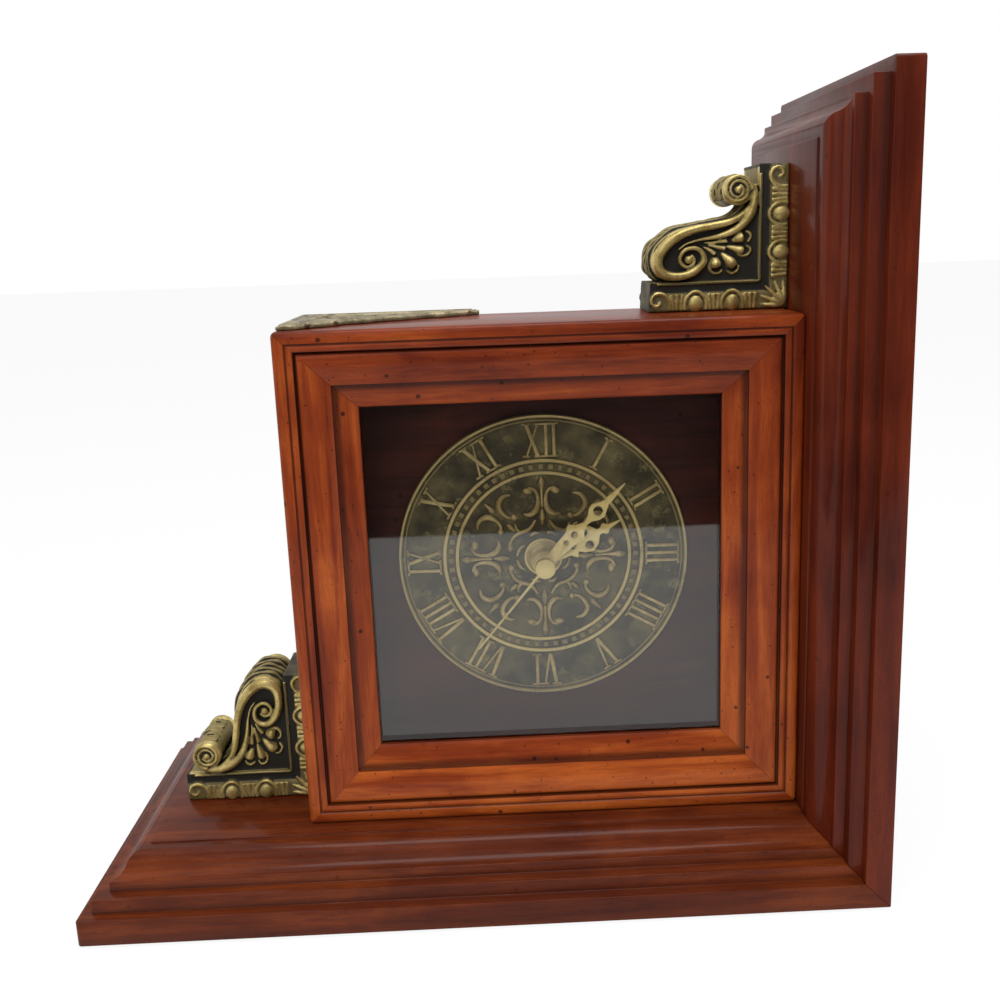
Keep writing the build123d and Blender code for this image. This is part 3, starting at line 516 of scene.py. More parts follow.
@dataclass(frozen=True)
class Moulded(Finish):
    """Moulded plastic, rubber, felt or board, told apart by its grain and sheen."""

    colour: Colour
    shade: Colour
    roughness: float
    grain_scale: float
    grain_depth: float

    def shader(self, recipe: Recipe) -> Signal:
        """Writes the shader."""
        place = recipe.coordinates()
        grain = recipe.noise(place, self.grain_scale, 3.0, 0.6)
        cloud = recipe.noise(place, 60.0, 3.0, 0.5)
        mottle = recipe.band(cloud * 0.6 + grain * 0.4, 0.38, 0.66)
        colour = recipe.blend(mottle, self.colour, self.shade)
        return recipe.surface(
            Base_Color=colour,
            Roughness=self.roughness + grain * 0.15,
            Normal=recipe.relief(grain, self.grain_depth, 0.7),
        )


@dataclass(frozen=True)
class PaneGlass(Finish):
    """Clear flat glass that shows its reflections over what lies behind it."""

    tint: Colour = tone(250, 252, 251)
    gloss: Colour = tone(255, 255, 255)
    roughness: float = 0.02
    bending: float = 1.5

    def shader(self, recipe: Recipe) -> Signal:
        """Writes the shader."""
        clear = recipe.node("ShaderNodeBsdfTransparent", {}, {"Color": self.tint})
        values = {"Color": self.gloss, "Roughness": self.roughness}
        mirror = recipe.node("ShaderNodeBsdfGlossy", {}, values)
        factor = recipe.node("ShaderNodeFresnel", {}, {"IOR": self.bending})
        return recipe.mixed(factor, clear, mirror)


@dataclass(frozen=True)
class Paper(Finish):
    """The pale sweep that the clock stands on, nearly white where it is seen or mirrored."""

    colour: Colour = tone(236, 236, 236)
    shade: Colour = tone(220, 220, 220)
    white: Colour = tone(255, 255, 255)
    glow: float = 0.9

    def shader(self, recipe: Recipe) -> Signal:
        """Writes the shader."""
        mottle = recipe.noise(recipe.coordinates(), 3.0, 2.0)
        colour = recipe.blend(mottle * 0.04, self.colour, self.shade)
        paper = recipe.surface(Base_Color=colour, Roughness=0.9)
        light = recipe.node("ShaderNodeEmission", {}, {"Color": self.white, "Strength": 1.0})
        return recipe.mixed(recipe.seen() * self.glow, paper, light)


@dataclass(frozen=True)
class DarkCard(Finish):
    """The matt dark card that stands behind the camera."""

    colour: Colour = tone(52, 36, 32)
    shade: Colour = tone(70, 50, 46)

    def shader(self, recipe: Recipe) -> Signal:
        """Writes the shader."""
        mottle = recipe.noise(recipe.coordinates(), 4.0, 2.0)
        colour = recipe.blend(mottle, self.colour, self.shade)
        return recipe.surface(Base_Color=colour, Roughness=0.9)


class Finishes:
    """Every material of the clock, made once and handed out by name."""

    def __init__(self) -> None:
        """Makes all the finishes."""
        recipes = (
            LacqueredWood("lacquer_across", Grain.ACROSS),
            LacqueredWood("lacquer_upward", Grain.UPWARD, shift=(0.31, 0.17, 0.0)),
            LacqueredWood(
                "lacquer_stand_across",
                Grain.ACROSS,
                dark=tone(54, 17, 6),
                middle=tone(76, 29, 10),
                light=tone(104, 46, 17),
                shift=(0.7, 0.4, 0.2),
                top_darkening=0.0,
                distress=0.45,
            ),
            LacqueredWood(
                "lacquer_stand_upward",
                Grain.UPWARD,
                dark=tone(54, 14, 6),
                middle=tone(74, 24, 9),
                light=tone(94, 34, 14),
                shift=(0.9, 0.1, 0.6),
                top_darkening=0.1,
                distress=0.45,
            ),
            LacqueredWood(
                "stained_wood",
                Grain.ACROSS,
                dark=tone(44, 17, 12),
                middle=tone(72, 29, 21),
                light=tone(94, 41, 30),
                coat=0.1,
                coat_roughness=0.3,
            ),
            PlainWood("plain_wood", Grain.ACROSS),
            CastBrass(
                "antique_brass",
                bright=tone(214, 194, 128),
                middle=tone(150, 131, 74),
                patina=tone(24, 21, 11),
            ),
            DialBronze("dial_bronze"),
            CastBrass(
                "dial_brass",
                bright=tone(234, 206, 146),
                middle=tone(188, 160, 104),
                patina=tone(50, 43, 27),
                roughness=0.34,
            ),
            CastBrass(
                "plaque_bronze",
                bright=tone(158, 146, 116),
                middle=tone(96, 88, 66),
                patina=tone(18, 16, 11),
                roughness=0.42,
                metallic=0.7,
                grit=1.0,
            ),
            PaneGlass("glass"),
            Paper("paper"),
            DarkCard("dark_card"),
        )
        # Name, colour, shade, roughness and metallic
        metals = (
            ("pale_gold", tone(250, 220, 148), tone(234, 200, 122), 0.3, 0.3),
            ("turned_brass", tone(232, 204, 138), tone(196, 164, 102), 0.3, 0.4),
            ("steel", tone(190, 190, 188), tone(140, 140, 140), 0.34, 1.0),
            ("magnet", tone(74, 74, 78), tone(52, 52, 56), 0.5, 0.7),
            ("copper_wire", tone(188, 96, 52), tone(140, 62, 32), 0.34, 1.0),
        )
        # Name, colour, shade, roughness, the grain's cells per metre and its depth
        mouldings = (
            ("black_plastic", tone(34, 34, 36), tone(24, 24, 26), 0.42, 1800.0, 0.03),
            ("white_plastic", tone(226, 224, 214), tone(206, 202, 190), 0.36, 1800.0, 0.03),
            ("rubber", tone(24, 24, 24), tone(32, 32, 32), 0.7, 1800.0, 0.03),
            ("circuit", tone(32, 92, 54), tone(24, 72, 42), 0.4, 700.0, 0.03),
            ("battery_sleeve", tone(46, 46, 50), tone(34, 34, 38), 0.3, 400.0, 0.03),
            ("green_felt", tone(42, 74, 48), tone(26, 50, 32), 0.85, 2400.0, 0.3),
        )
        recipes += tuple(PolishedMetal(*metal) for metal in metals)
        recipes += tuple(Moulded(*moulding) for moulding in mouldings)
        self.made = {recipe.name: recipe.make() for recipe in recipes}

    def dress(self, piece: bpy.types.Object, name: str) -> None:
        """Puts the finish of a name on a whole piece."""
        piece.data.materials.clear()
        piece.data.materials.append(self.made[name])


# Workshop: the steps that every piece is made with


def deselect() -> None:
    """Leaves object mode with nothing selected."""
    if bpy.context.object is not None and bpy.context.object.mode != "OBJECT":
        bpy.ops.object.mode_set(mode="OBJECT")
    bpy.ops.object.select_all(action="DESELECT")


def pick(piece: bpy.types.Object) -> None:
    """Makes a piece the only one selected, and active."""
    deselect()
    piece.select_set(True)
    bpy.context.view_layer.objects.active = piece


@contextmanager
def editing(piece: bpy.types.Object, mode: str = "EDGE", everything: bool = True) -> Iterator[None]:
    """Edit mode on a piece, left again at the end.

    Args:
        piece: The piece.
        mode: What is selected: VERT, EDGE or FACE.
        everything: Whether all of it starts selected.
    """
    pick(piece)
    bpy.ops.object.mode_set(mode="EDIT")
    bpy.ops.mesh.select_mode(type=mode)
    if everything:
        bpy.ops.mesh.select_all(action="SELECT")
    yield
    bpy.ops.object.mode_set(mode="OBJECT")


def settle(piece: bpy.types.Object) -> None:
    """Applies a piece's place and turn to its mesh."""
    pick(piece)
    bpy.ops.object.transform_apply(location=True, rotation=True, scale=True)


def merge(piece: bpy.types.Object, normals: bool = True) -> None:
    """Joins a piece's doubled points and points its faces outwards."""
    with editing(piece, "VERT"):
        bpy.ops.mesh.remove_doubles(threshold=MERGE)
        if normals:
            bpy.ops.mesh.normals_make_consistent(inside=False)


def smooth(piece: bpy.types.Object, degrees: float) -> None:
    """Shades a piece smooth up to an angle."""
    pick(piece)
    bpy.ops.object.shade_smooth_by_angle(angle=math.radians(degrees))


def twin(source: bpy.types.Object, name: str) -> bpy.types.Object:
    """A copy of a piece with its own mesh, riding on nothing.

    Args:
        source: The piece.
        name: The copy's name.

    Returns:
        The copy.
    """
    copy = source.copy()
    copy.data = source.data.copy()
    copy.name = name
    copy.data.name = name
    copy.parent = None
    for key in list(copy.keys()):
        del copy[key]
    copy.hide_render = False
    copy.hide_viewport = False
    bpy.context.scene.collection.objects.link(copy)
    return copy


def weld_copy(node: bpy.types.Object, name: str) -> bpy.types.Object:
    """A copy of a frame node with its loose triangles joined into whole faces."""
    copy = twin(node, name)
    merge(copy, normals=False)
    with editing(copy, "FACE"):
        bpy.ops.mesh.dissolve_limited(angle_limit=math.radians(FLAT_ANGLE))
    return copy


def join(pieces: Sequence[bpy.types.Object], name: str) -> bpy.types.Object:
    """Joins pieces into one object.

    Args:
        pieces: The pieces.
        name: The joined piece's name.

    Returns:
        The joined piece.
    """
    pick(pieces[0])
    for piece in pieces:
        piece.select_set(True)
    bpy.ops.object.join()
    pieces[0].name = name
    pieces[0].data.name = name
    return pieces[0]


def finish_modifier(piece: bpy.types.Object, kind: str, **settings: object) -> None:
    """Adds a modifier and applies it.

    Args:
        piece: The piece.
        kind: The modifier's type.
        settings: Its settings.
    """
    pick(piece)
    modifier = piece.modifiers.new(kind.lower(), kind)
    for key, value in settings.items():
        setattr(modifier, key, value)
    bpy.ops.object.modifier_apply(modifier=modifier.name)


def ease(piece: bpy.types.Object, width: float, segments: int = 2) -> None:
    """Bevels a piece's sharp edges, by a width in millimetres."""
    finish_modifier(piece, "BEVEL", width=width * MM, segments=segments, limit_method="ANGLE")


def loop_of(name: str, points: Sequence[Point]) -> bpy.types.Object:
    """A closed outline of edges through points.

    Args:
        name: Its name.
        points: The points, in millimetres.

    Returns:
        The outline, a ring primitive with its corners moved to the points.
    """
    deselect()
    bpy.ops.mesh.primitive_circle_add(vertices=len(points), radius=MM)
    ring = bpy.context.object
    ring.name = name
    ring.data.name = name
    for vertex, point in zip(ring.data.vertices, points):
        vertex.co = Vector(point) * MM
    return ring


def spin_round(piece: bpy.types.Object, centre: Point, steps: int, axis: Point) -> None:
    """Spins an outline a full turn into a closed piece.

    Args:
        piece: The outline.
        centre: A point on the axis, in millimetres.
        steps: The faces round the turn.
        axis: The axis.
    """
    with editing(piece):
        bpy.ops.mesh.spin(steps=steps, angle=math.tau, center=Vector(centre) * MM, axis=axis)
    merge(piece)


def mark_edges(piece: bpy.types.Object, width: float) -> None:
    """Rounds a piece's sharp edges and marks the new faces: convex ones for wear with a painted
    highlight, concave ones for dirt with painted shade.

    Args:
        piece: The piece.
        width: The rounding's width, in millimetres.
    """
    piece.data.materials.clear()
    with editing(piece, "EDGE", everything=False):
        bpy.ops.mesh.select_all(action="DESELECT")
        bpy.ops.mesh.edges_select_sharp(sharpness=math.radians(SHARP_ANGLE))
        bpy.ops.mesh.bevel(
            offset=width * MM,
            offset_type="OFFSET",
            segments=2,
            affect="EDGES",
            material=1,
            clamp_overlap=True,
        )
    mesh = piece.data
    normals = [polygon.normal.copy() for polygon in mesh.polygons]
    centres = [polygon.center.copy() for polygon in mesh.polygons]
    beside: Dict[Tuple[int, int], List[int]] = {}
    for polygon in mesh.polygons:
        for key in polygon.edge_keys:
            beside.setdefault(key, []).append(polygon.index)
    turn = [0.0] * len(mesh.polygons)
    for pair in beside.values():
        if len(pair) == 2:
            first, second = pair
            lean = normals[first].dot(centres[second] - centres[first])
            bend = normals[first].angle(normals[second], 0.0)
            turn[first] += -bend if lean > 0 else bend
            turn[second] += -bend if lean > 0 else bend
    worn = mesh.attributes.new("worn", "FLOAT", "FACE")
    grime = mesh.attributes.new("grime", "FLOAT", "FACE")
    for polygon in mesh.polygons:
        place = polygon.index
        rounded = polygon.material_index == 1
        # Convex rounded faces take wear and a painted highlight, concave ones dirt and painted
        # shade
        worn.data[place].value = 1.0 if rounded and turn[place] > 0 else 0.0
        grime.data[place].value = 1.0 if rounded and turn[place] < 0 else 0.0
        polygon.material_index = 0


def mark_hollows(piece: bpy.types.Object, reach: float, rays: int, gain: float) -> None:
    """Marks each point of a piece with how much of it lies in a recess.

    Args:
        piece: The piece.
        reach: How far a wall counts, in millimetres.
        rays: The rays sent from each point.
        gain: What the hidden share is multiplied by.
    """
    mesh = piece.data
    tree = BVHTree.FromPolygons(
        [vertex.co for vertex in mesh.vertices], [polygon.vertices for polygon in mesh.polygons]
    )
    golden = math.pi * (3 - math.sqrt(5))
    directions = []
    for index in range(rays):
        height = 1 - (index + 0.5) / rays
        span = math.sqrt(1 - height * height)
        turn = golden * index
        directions.append(Vector((span * math.cos(turn), span * math.sin(turn), height)))
    hollow = mesh.attributes.new("hollow", "FLOAT", "POINT")
    up = Vector((0.0, 0.0, 1.0))
    for vertex in mesh.vertices:
        normal = vertex.normal
        turn = up.rotation_difference(normal)
        start = vertex.co + normal * (RAY_START * MM)
        hits = 0.0
        for direction in directions:
            place, _, _, distance = tree.ray_cast(start, turn @ direction, reach * MM)
            if place is not None:
                hits += 1 - distance / (reach * MM)
        hollow.data[vertex.index].value = min(1.0, gain * hits / rays)


def flowing(points: Sequence[Sequence[float]], steps: int) -> List[Tuple[float, ...]]:
    """A smooth line that passes through points.

    Args:
        points: The points, each with as many numbers as are wanted.
        steps: The steps from one point to the next.

    Returns:
        The points of the line.
    """
    last = len(points) - 1
    line = []
    for index in range(last):
        four = [points[min(max(index + offset, 0), last)] for offset in (-1, 0, 1, 2)]
        for step in range(steps):
            t = step / steps
            weights = (
                -0.5 * t + t * t - 0.5 * t**3,
                1 - 2.5 * t * t + 1.5 * t**3,
                0.5 * t + 2 * t * t - 1.5 * t**3,
                -0.5 * t * t + 0.5 * t**3,
            )
            axes = range(len(four[0]))
            line.append(tuple(sum(w * p[axis] for w, p in zip(weights, four)) for axis in axes))
    line.append(tuple(points[-1]))
    return line


def circling(middle: Place, reach: float, angle: float) -> Place:
    """The point at an angle and a reach from a middle."""
    return (middle[0] + reach * math.cos(angle), middle[1] + reach * math.sin(angle))


def rectangle(left: float, low: float, right: float, high: float) -> List[Place]:
    """The outline of a rectangle, from its lower left corner round."""
    return [(left, low), (right, low), (right, high), (left, high)]


def slab(name: str, outline: Sequence[Place], low: float, high: float) -> bpy.types.Object:
    """A flat piece of one outline, standing along Z.

    Args:
        name: Its name.
        outline: Its outline in X and Y, in millimetres.
        low: Its lowest height.
        high: Its highest height.

    Returns:
        The piece.
    """
    piece = loop_of(name, [(x, y, low) for x, y in outline])
    with editing(piece):
        bpy.ops.mesh.edge_face_add()
        rise = (0.0, 0.0, (high - low) * MM)
        bpy.ops.mesh.extrude_region_move(TRANSFORM_OT_translate={"value": rise})
    merge(piece)
    return piece


def ridge(
    name: str, points: Sequence[Point], height: float, lift: float, sides: int = 2
) -> bpy.types.Object:
    """A raised line with a rounded back, whose width changes along it.

    Args:
        name: Its name.
        points: X, Y and half the width of each point, in millimetres.
        height: The height of its middle line along Z.
        lift: How tall it is beside half its width.
        sides: How finely its back is rounded.

    Returns:
        The piece.
    """
    deselect()
    bpy.ops.curve.primitive_nurbs_path_add()
    piece = bpy.context.object
    piece.name = name
    curve = piece.data
    curve.splines.clear()
    line = flowing(points, LINE_STEPS)
    spline = curve.splines.new("POLY")
    spline.points.add(len(line) - 1)
    for knot, (x, y, half) in zip(spline.points, line):
        knot.co = (x * MM, y * MM, 0.0, 1.0)
        knot.radius = max(half, THINNEST)
    curve.bevel_depth = MM
    curve.bevel_resolution = sides
    curve.use_fill_caps = True
    pick(piece)
    bpy.ops.object.convert(target="MESH")
    piece.scale = (1.0, 1.0, lift)
    piece.location = (0.0, 0.0, height * MM)
    settle(piece)
    return piece


def dome(
    name: str, place: Place, half: Place, height: float, tall: float
) -> bpy.types.Object:
    """An oval boss.

    Args:
        name: Its name.
        place: Its middle in X and Y, in millimetres.
        half: Half its width in X and in Y.
        height: The height of its middle along Z.
        tall: How far it rises above that.

    Returns:
        The piece.
    """
    deselect()
    bpy.ops.mesh.primitive_uv_sphere_add(
        segments=24,
        ring_count=14,
        radius=MM,
        location=(place[0] * MM, place[1] * MM, height * MM),
        scale=(*half, tall),
    )
    piece = bpy.context.object
    piece.name = name
    settle(piece)
    return piece


# Sub-assemblies


@dataclass
class Assembly:
    """What every sub-assembly shares: the frame, the finishes and how pieces are handed over."""

    frame: Dict[str, object]
    finishes: Finishes

    @property
    def nodes(self) -> Dict[str, bpy.types.Object]:
        """The frame's nodes by name."""
        return self.frame["nodes"]

    def hand_over(
        self,
        piece: bpy.types.Object,
        finish: str,
        slot: str,
        body: Body = Body.CLOCK,
        replaced: Sequence[str] = (),
    ) -> None:
        """Dresses a finished piece and lets it ride on its body.

        Args:
            piece: The piece.
            finish: Its finish.
            slot: Not used.
            body: The body that carries it.
            replaced: The frame nodes that it stands for.
        """
        self.finishes.dress(piece, finish)
        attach(piece, body.value)
        if replaced:
            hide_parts(*replaced)
        log.info("%s: %d faces", piece.name, len(piece.data.polygons))

    def keep_node(self, name: str, finish: str) -> None:
        """Keeps a frame node as it is and gives it a finish."""
        self.finishes.dress(self.nodes[name], finish)
        log.info("%s: kept", name)


@dataclass
class Stand(Assembly):
    """The base and the upright, mitred at the corner, on felt pads."""

    edge_width: float = 0.5

    def board(self, node: str, finish: str) -> None:
        """One moulded board with its edges eased and marked.

        Args:
            node: The frame node that it is made from.
            finish: Its finish.
        """
        board = weld_copy(self.nodes[node], node.replace("board", "moulding"))
        mark_edges(board, self.edge_width)
        mark_hollows(board, reach=6.0, rays=32, gain=1.8)
        smooth(board, degrees=30.0)
        self.hand_over(board, finish, "lacquered_wood", replaced=[node])

    def build(self) -> None:
        """Makes the stand."""
        self.board("base_board", "lacquer_stand_across")
        self.board("upright_board", "lacquer_stand_upward")
        self.keep_node("mitre_dowels", "plain_wood")
        self.keep_node("felt_pads", "green_felt")


@dataclass
class Case(Assembly):
    """The square case: four mitred sides with a stepped front, and what it holds at the front."""

    side: float = 170.0
    corner_round: float = 1.8
    edge_width: float = 0.22
    mitre_gap: float = 0.04
    screw_head: Place = (3.0, 1.4)
    screw_slants: Place = (0.4, 1.9)
    recess_arms: Sequence[Place] = ((0.3, 1.7), (1.7, 0.3))
    recess_depth: float = 0.8
    section: Sequence[Place] = (
        (0.0, 0.0), (3.9, 0.0), (4.15, 0.5), (4.4, 0.5), (4.75, 0.2), (5.5, 0.02), (6.25, 0.2),
        (6.6, 0.5), (6.6, 2.4), (7.1, 2.4), (7.25, 1.6), (7.75, 1.0), (8.5, 0.72), (9.1, 0.7),
        (11.2, 0.9), (13.4, 1.3), (15.6, 1.95), (17.7, 2.7), (17.7, 4.2), (18.5, 4.44),
        (20.5, 5.04), (24.2, 6.16), (25.0, 6.4), (25.6, 7.0), (25.6, 8.5), (20.6, 8.5),
        (20.6, 16.0), (8.0, 16.0), (8.0, 53.0), (0.0, 53.0),
    )
    middle: Vector = field(init=False)

    def __post_init__(self) -> None:
        """Finds the middle of the case's front, in metres."""
        low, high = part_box("frame_top")
        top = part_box("case_top_panel")[1].z
        self.middle = Vector(((low.x + high.x) / 2, low.y, top - self.side * MM / 2))

    def ring(self) -> bpy.types.Object:
        """All four sides as one ring, spun from the section along a corner's diagonal."""
        x, y, z = (place / MM for place in self.middle)
        reaches = [(self.side / 2 - inwards, back) for inwards, back in self.section]
        ring = loop_of("case_ring", [(x + reach, y + back, z + reach) for reach, back in reaches])
        spin_round(ring, tuple(self.middle / MM), steps=4, axis=BACKWARD)
        return ring

    def round_corners(self, ring: bpy.types.Object) -> None:
        """Rounds the four outer edges that run back from the corners."""
        half = self.side * MM / 2
        with editing(ring, "EDGE", everything=False):
            bpy.ops.mesh.select_all(action="DESELECT")
        arms = [vertex.co - self.middle for vertex in ring.data.vertices]
        corner = [
            abs(abs(arm.x) - half) < MERGE and abs(abs(arm.z) - half) < MERGE for arm in arms
        ]
        for edge in ring.data.edges:
            edge.select = corner[edge.vertices[0]] and corner[edge.vertices[1]]
        with editing(ring, "EDGE", everything=False):
            bpy.ops.mesh.bevel(offset=self.corner_round * MM, segments=4, affect="EDGES")

    def cut_side(self, ring: bpy.types.Object, name: str, turn: float) -> bpy.types.Object:
        """One side, cut from the ring along its two mitres.

        Args:
            ring: The whole ring.
            name: The side's name.
            turn: Its direction from the middle, in degrees from +X towards +Z.

        Returns:
            The closed side.
        """
        side = twin(ring, name)
        for lean in (-45.0, 45.0):
            angle = math.radians(turn + lean)
            along = Vector((math.cos(angle), 0.0, math.sin(angle)))
            normal = Vector((-along.z, 0.0, along.x)) * (1.0 if lean > 0 else -1.0)
            with editing(side, "FACE"):
                bpy.ops.mesh.bisect(
                    plane_co=self.middle - normal * self.mitre_gap * MM,
                    plane_no=normal,
                    use_fill=True,
                    clear_outer=True,
                    threshold=MERGE,
                )
        return side

    def build(self) -> None:
        """Makes the case."""
        ring = self.ring()
        self.round_corners(ring)
        mark_edges(ring, self.edge_width)
        mark_hollows(ring, reach=5.0, rays=48, gain=1.9)
        sides = (("right", 0.0), ("top", 90.0), ("left", 180.0), ("bottom", 270.0))
        for name, turn in sides:
            side = self.cut_side(ring, f"case_{name}_side", turn)
            smooth(side, degrees=28.0)
            upright = name in ("left", "right")
            self.hand_over(
                side,
                "lacquer_upward" if upright else "lacquer_across",
                "lacquered_wood",
                replaced=[f"frame_{name}", f"case_{name}_panel"],
            )
        bpy.data.objects.remove(ring)
        self.keep_node("glass_pane", "glass")
        for name in ("glass_beads", "dial_battens", "dial_board"):
            self.keep_node(name, "stained_wood")
        for name in ("corner_blocks", "back_panel"):
            self.keep_node(name, "plain_wood")
        self.screws()

    def screws(self) -> None:
        """Makes the back's pan-head screws, with their crossed recesses."""
        low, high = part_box("back_screws")
        radius, height = self.screw_head
        section = (
            (0.0, height), (1.3, height - 0.04), (2.2, height - 0.3), (2.75, height - 0.7),
            (radius, 0.0), (1.5, 0.0), (1.5, -9.0), (0.0, -10.6),
        )
        screw = loop_of("screw", [(reach, 0.0, rise) for reach, rise in section])
        spin_round(screw, ORIGIN, steps=32, axis=UP)
        for wide, tall in self.recess_arms:
            outline = rectangle(-wide, -tall, wide, tall)
            cutter = slab("cutter", outline, height - self.recess_depth, height + 1.0)
            finish_modifier(screw, "BOOLEAN", object=cutter, operation="DIFFERENCE")
            bpy.data.objects.remove(cutter)
        facing = Matrix(((-1, 0, 0), (0, 0, 1), (0, 1, 0))).to_4x4()
        first, apart = self.screw_slants
        heads: List[bpy.types.Object] = []
        for x in (low.x + radius * MM, high.x - radius * MM):
            for z in (low.z + radius * MM, high.z - radius * MM):
                head = twin(screw, "head")
                place = Vector((x, high.y - height * MM, z))
                slant = Matrix.Rotation(first + apart * len(heads), 4, "Z")
                head.matrix_world = Matrix.Translation(place) @ facing @ slant
                settle(head)
                heads.append(head)
        bpy.data.objects.remove(screw)
        screws = join(heads, "pan_head_screws")
        smooth(screws, degrees=30.0)
        self.hand_over(screws, "steel", "steel", replaced=["back_screws"])


@dataclass
class Movement(Assembly):
    """The quartz movement, whose pieces keep the frame's shapes."""

    nodes_by_finish: Dict[str, Sequence[str]] = field(
        default_factory=lambda: {
            "white_plastic": (
                "hour_wheel", "motion_wheel", "centre_wheel", "third_wheel", "seconds_wheel",
                "intermediate_wheel", "rotor_pinion", "middle_plate", "stator_posts", "coil_bobbin",
            ),
            "black_plastic": ("setting_knob", "movement_case", "movement_cover"),
            "turned_brass": ("cannon_pinion", "threaded_bush"),
            "steel": ("stator", "quartz_crystal", "positive_contact", "negative_contact"),
            "rubber": ("rubber_washer",),
            "magnet": ("rotor_magnet",),
            "copper_wire": ("coil_winding",),
            "circuit": ("circuit_board",),
            "battery_sleeve": ("battery",),
        }
    )
    washer_section: Sequence[Place] = (
        (4.0, 0.0), (6.6, 0.0), (6.8, 0.15), (6.8, 0.5), (6.6, 0.62), (6.2, 0.62), (6.0, 0.42),
        (5.8, 0.36), (4.0, 0.36),
    )
    nut_inner: float = 3.95
    nut_outer: float = 6.0
    nut_height: float = 2.8
    nut_ribs: int = 4
    nut_step: float = 0.32
    nut_groove: float = 0.02
    nut_lip: float = 0.1
    nut_rib: Sequence[Place] = ((0.0, 0.5), (0.14, 0.66), (0.42, 0.74), (0.42, 0.92))

    def turned(self, node: str, name: str, finish: str, section: Sequence[Place]) -> None:
        """Replaces a node by a turned piece of the same place and reach.

        Args:
            node: The node.
            name: The piece's name.
            finish: Its finish.
            section: Radius and distance in front of the node's back, in millimetres.
        """
        low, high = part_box(node)
        x, z = (low.x + high.x) / 2 / MM, (low.z + high.z) / 2 / MM
        back = high.y / MM
        piece = loop_of(name, [(x + reach, back - ahead, z) for reach, ahead in section])
        spin_round(piece, (x, 0.0, z), steps=72, axis=BACKWARD)
        smooth(piece, degrees=28.0)
        self.hand_over(piece, finish, finish, replaced=[node])

    def nut_section(self) -> List[Place]:
        """The ribbed nut's section, each rib a step narrower than the one behind it."""
        section = [(self.nut_inner, self.nut_height), (self.nut_inner, 0.0), (self.nut_outer, 0.0)]
        pitch = self.nut_height / self.nut_ribs
        for rib in range(self.nut_ribs):
            reach = self.nut_outer - self.nut_step * rib
            foot = pitch * rib
            section += [(reach - inwards, foot + share * pitch) for inwards, share in self.nut_rib]
            section.append((reach - self.nut_step, foot + pitch - self.nut_groove))
        section[-1] = (section[-1][0] - self.nut_lip, self.nut_height)
        return section

    def build(self) -> None:
        """Dresses the movement."""
        for finish, names in self.nodes_by_finish.items():
            for name in names:
                self.keep_node(name, finish)
        self.turned("dial_washer", "rolled_washer", "pale_gold", self.washer_section)
        self.turned("dial_nut", "ribbed_nut", "turned_brass", self.nut_section())


@dataclass
class Hands(Assembly):
    """The three hands, with their edges eased and their tips drawn out a little."""

    edge_width: float = 0.12
    boss: float = 6.0
    reach: Sequence[Tuple[str, Body, float]] = (
        ("hour_hand", Body.HOURS, 1.0),
        ("minute_hand", Body.MINUTES, 1.05),
        ("second_hand", Body.SECONDS, 1.07),
    )

    def build(self) -> None:
        """Makes the hands, each stretched by its reach beyond the boss."""
        low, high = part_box("dial")
        axis = Vector(((low.x + high.x) / 2, 0.0, (low.z + high.z) / 2))
        for name, body, reach in self.reach:
            hand = weld_copy(self.nodes[name], name.replace("hand", "pointer"))
            for vertex in hand.data.vertices:
                arm = vertex.co - axis
                stretch = reach if Vector((arm.x, arm.z)).length > self.boss * MM else 1.0
                place = (axis.x + arm.x * stretch, vertex.co.y, axis.z + arm.z * stretch)
                vertex.co = Vector(place)
            mark_edges(hand, self.edge_width)
            smooth(hand, degrees=30.0)
            self.hand_over(hand, "pale_gold", "pale_gold", body, [name])


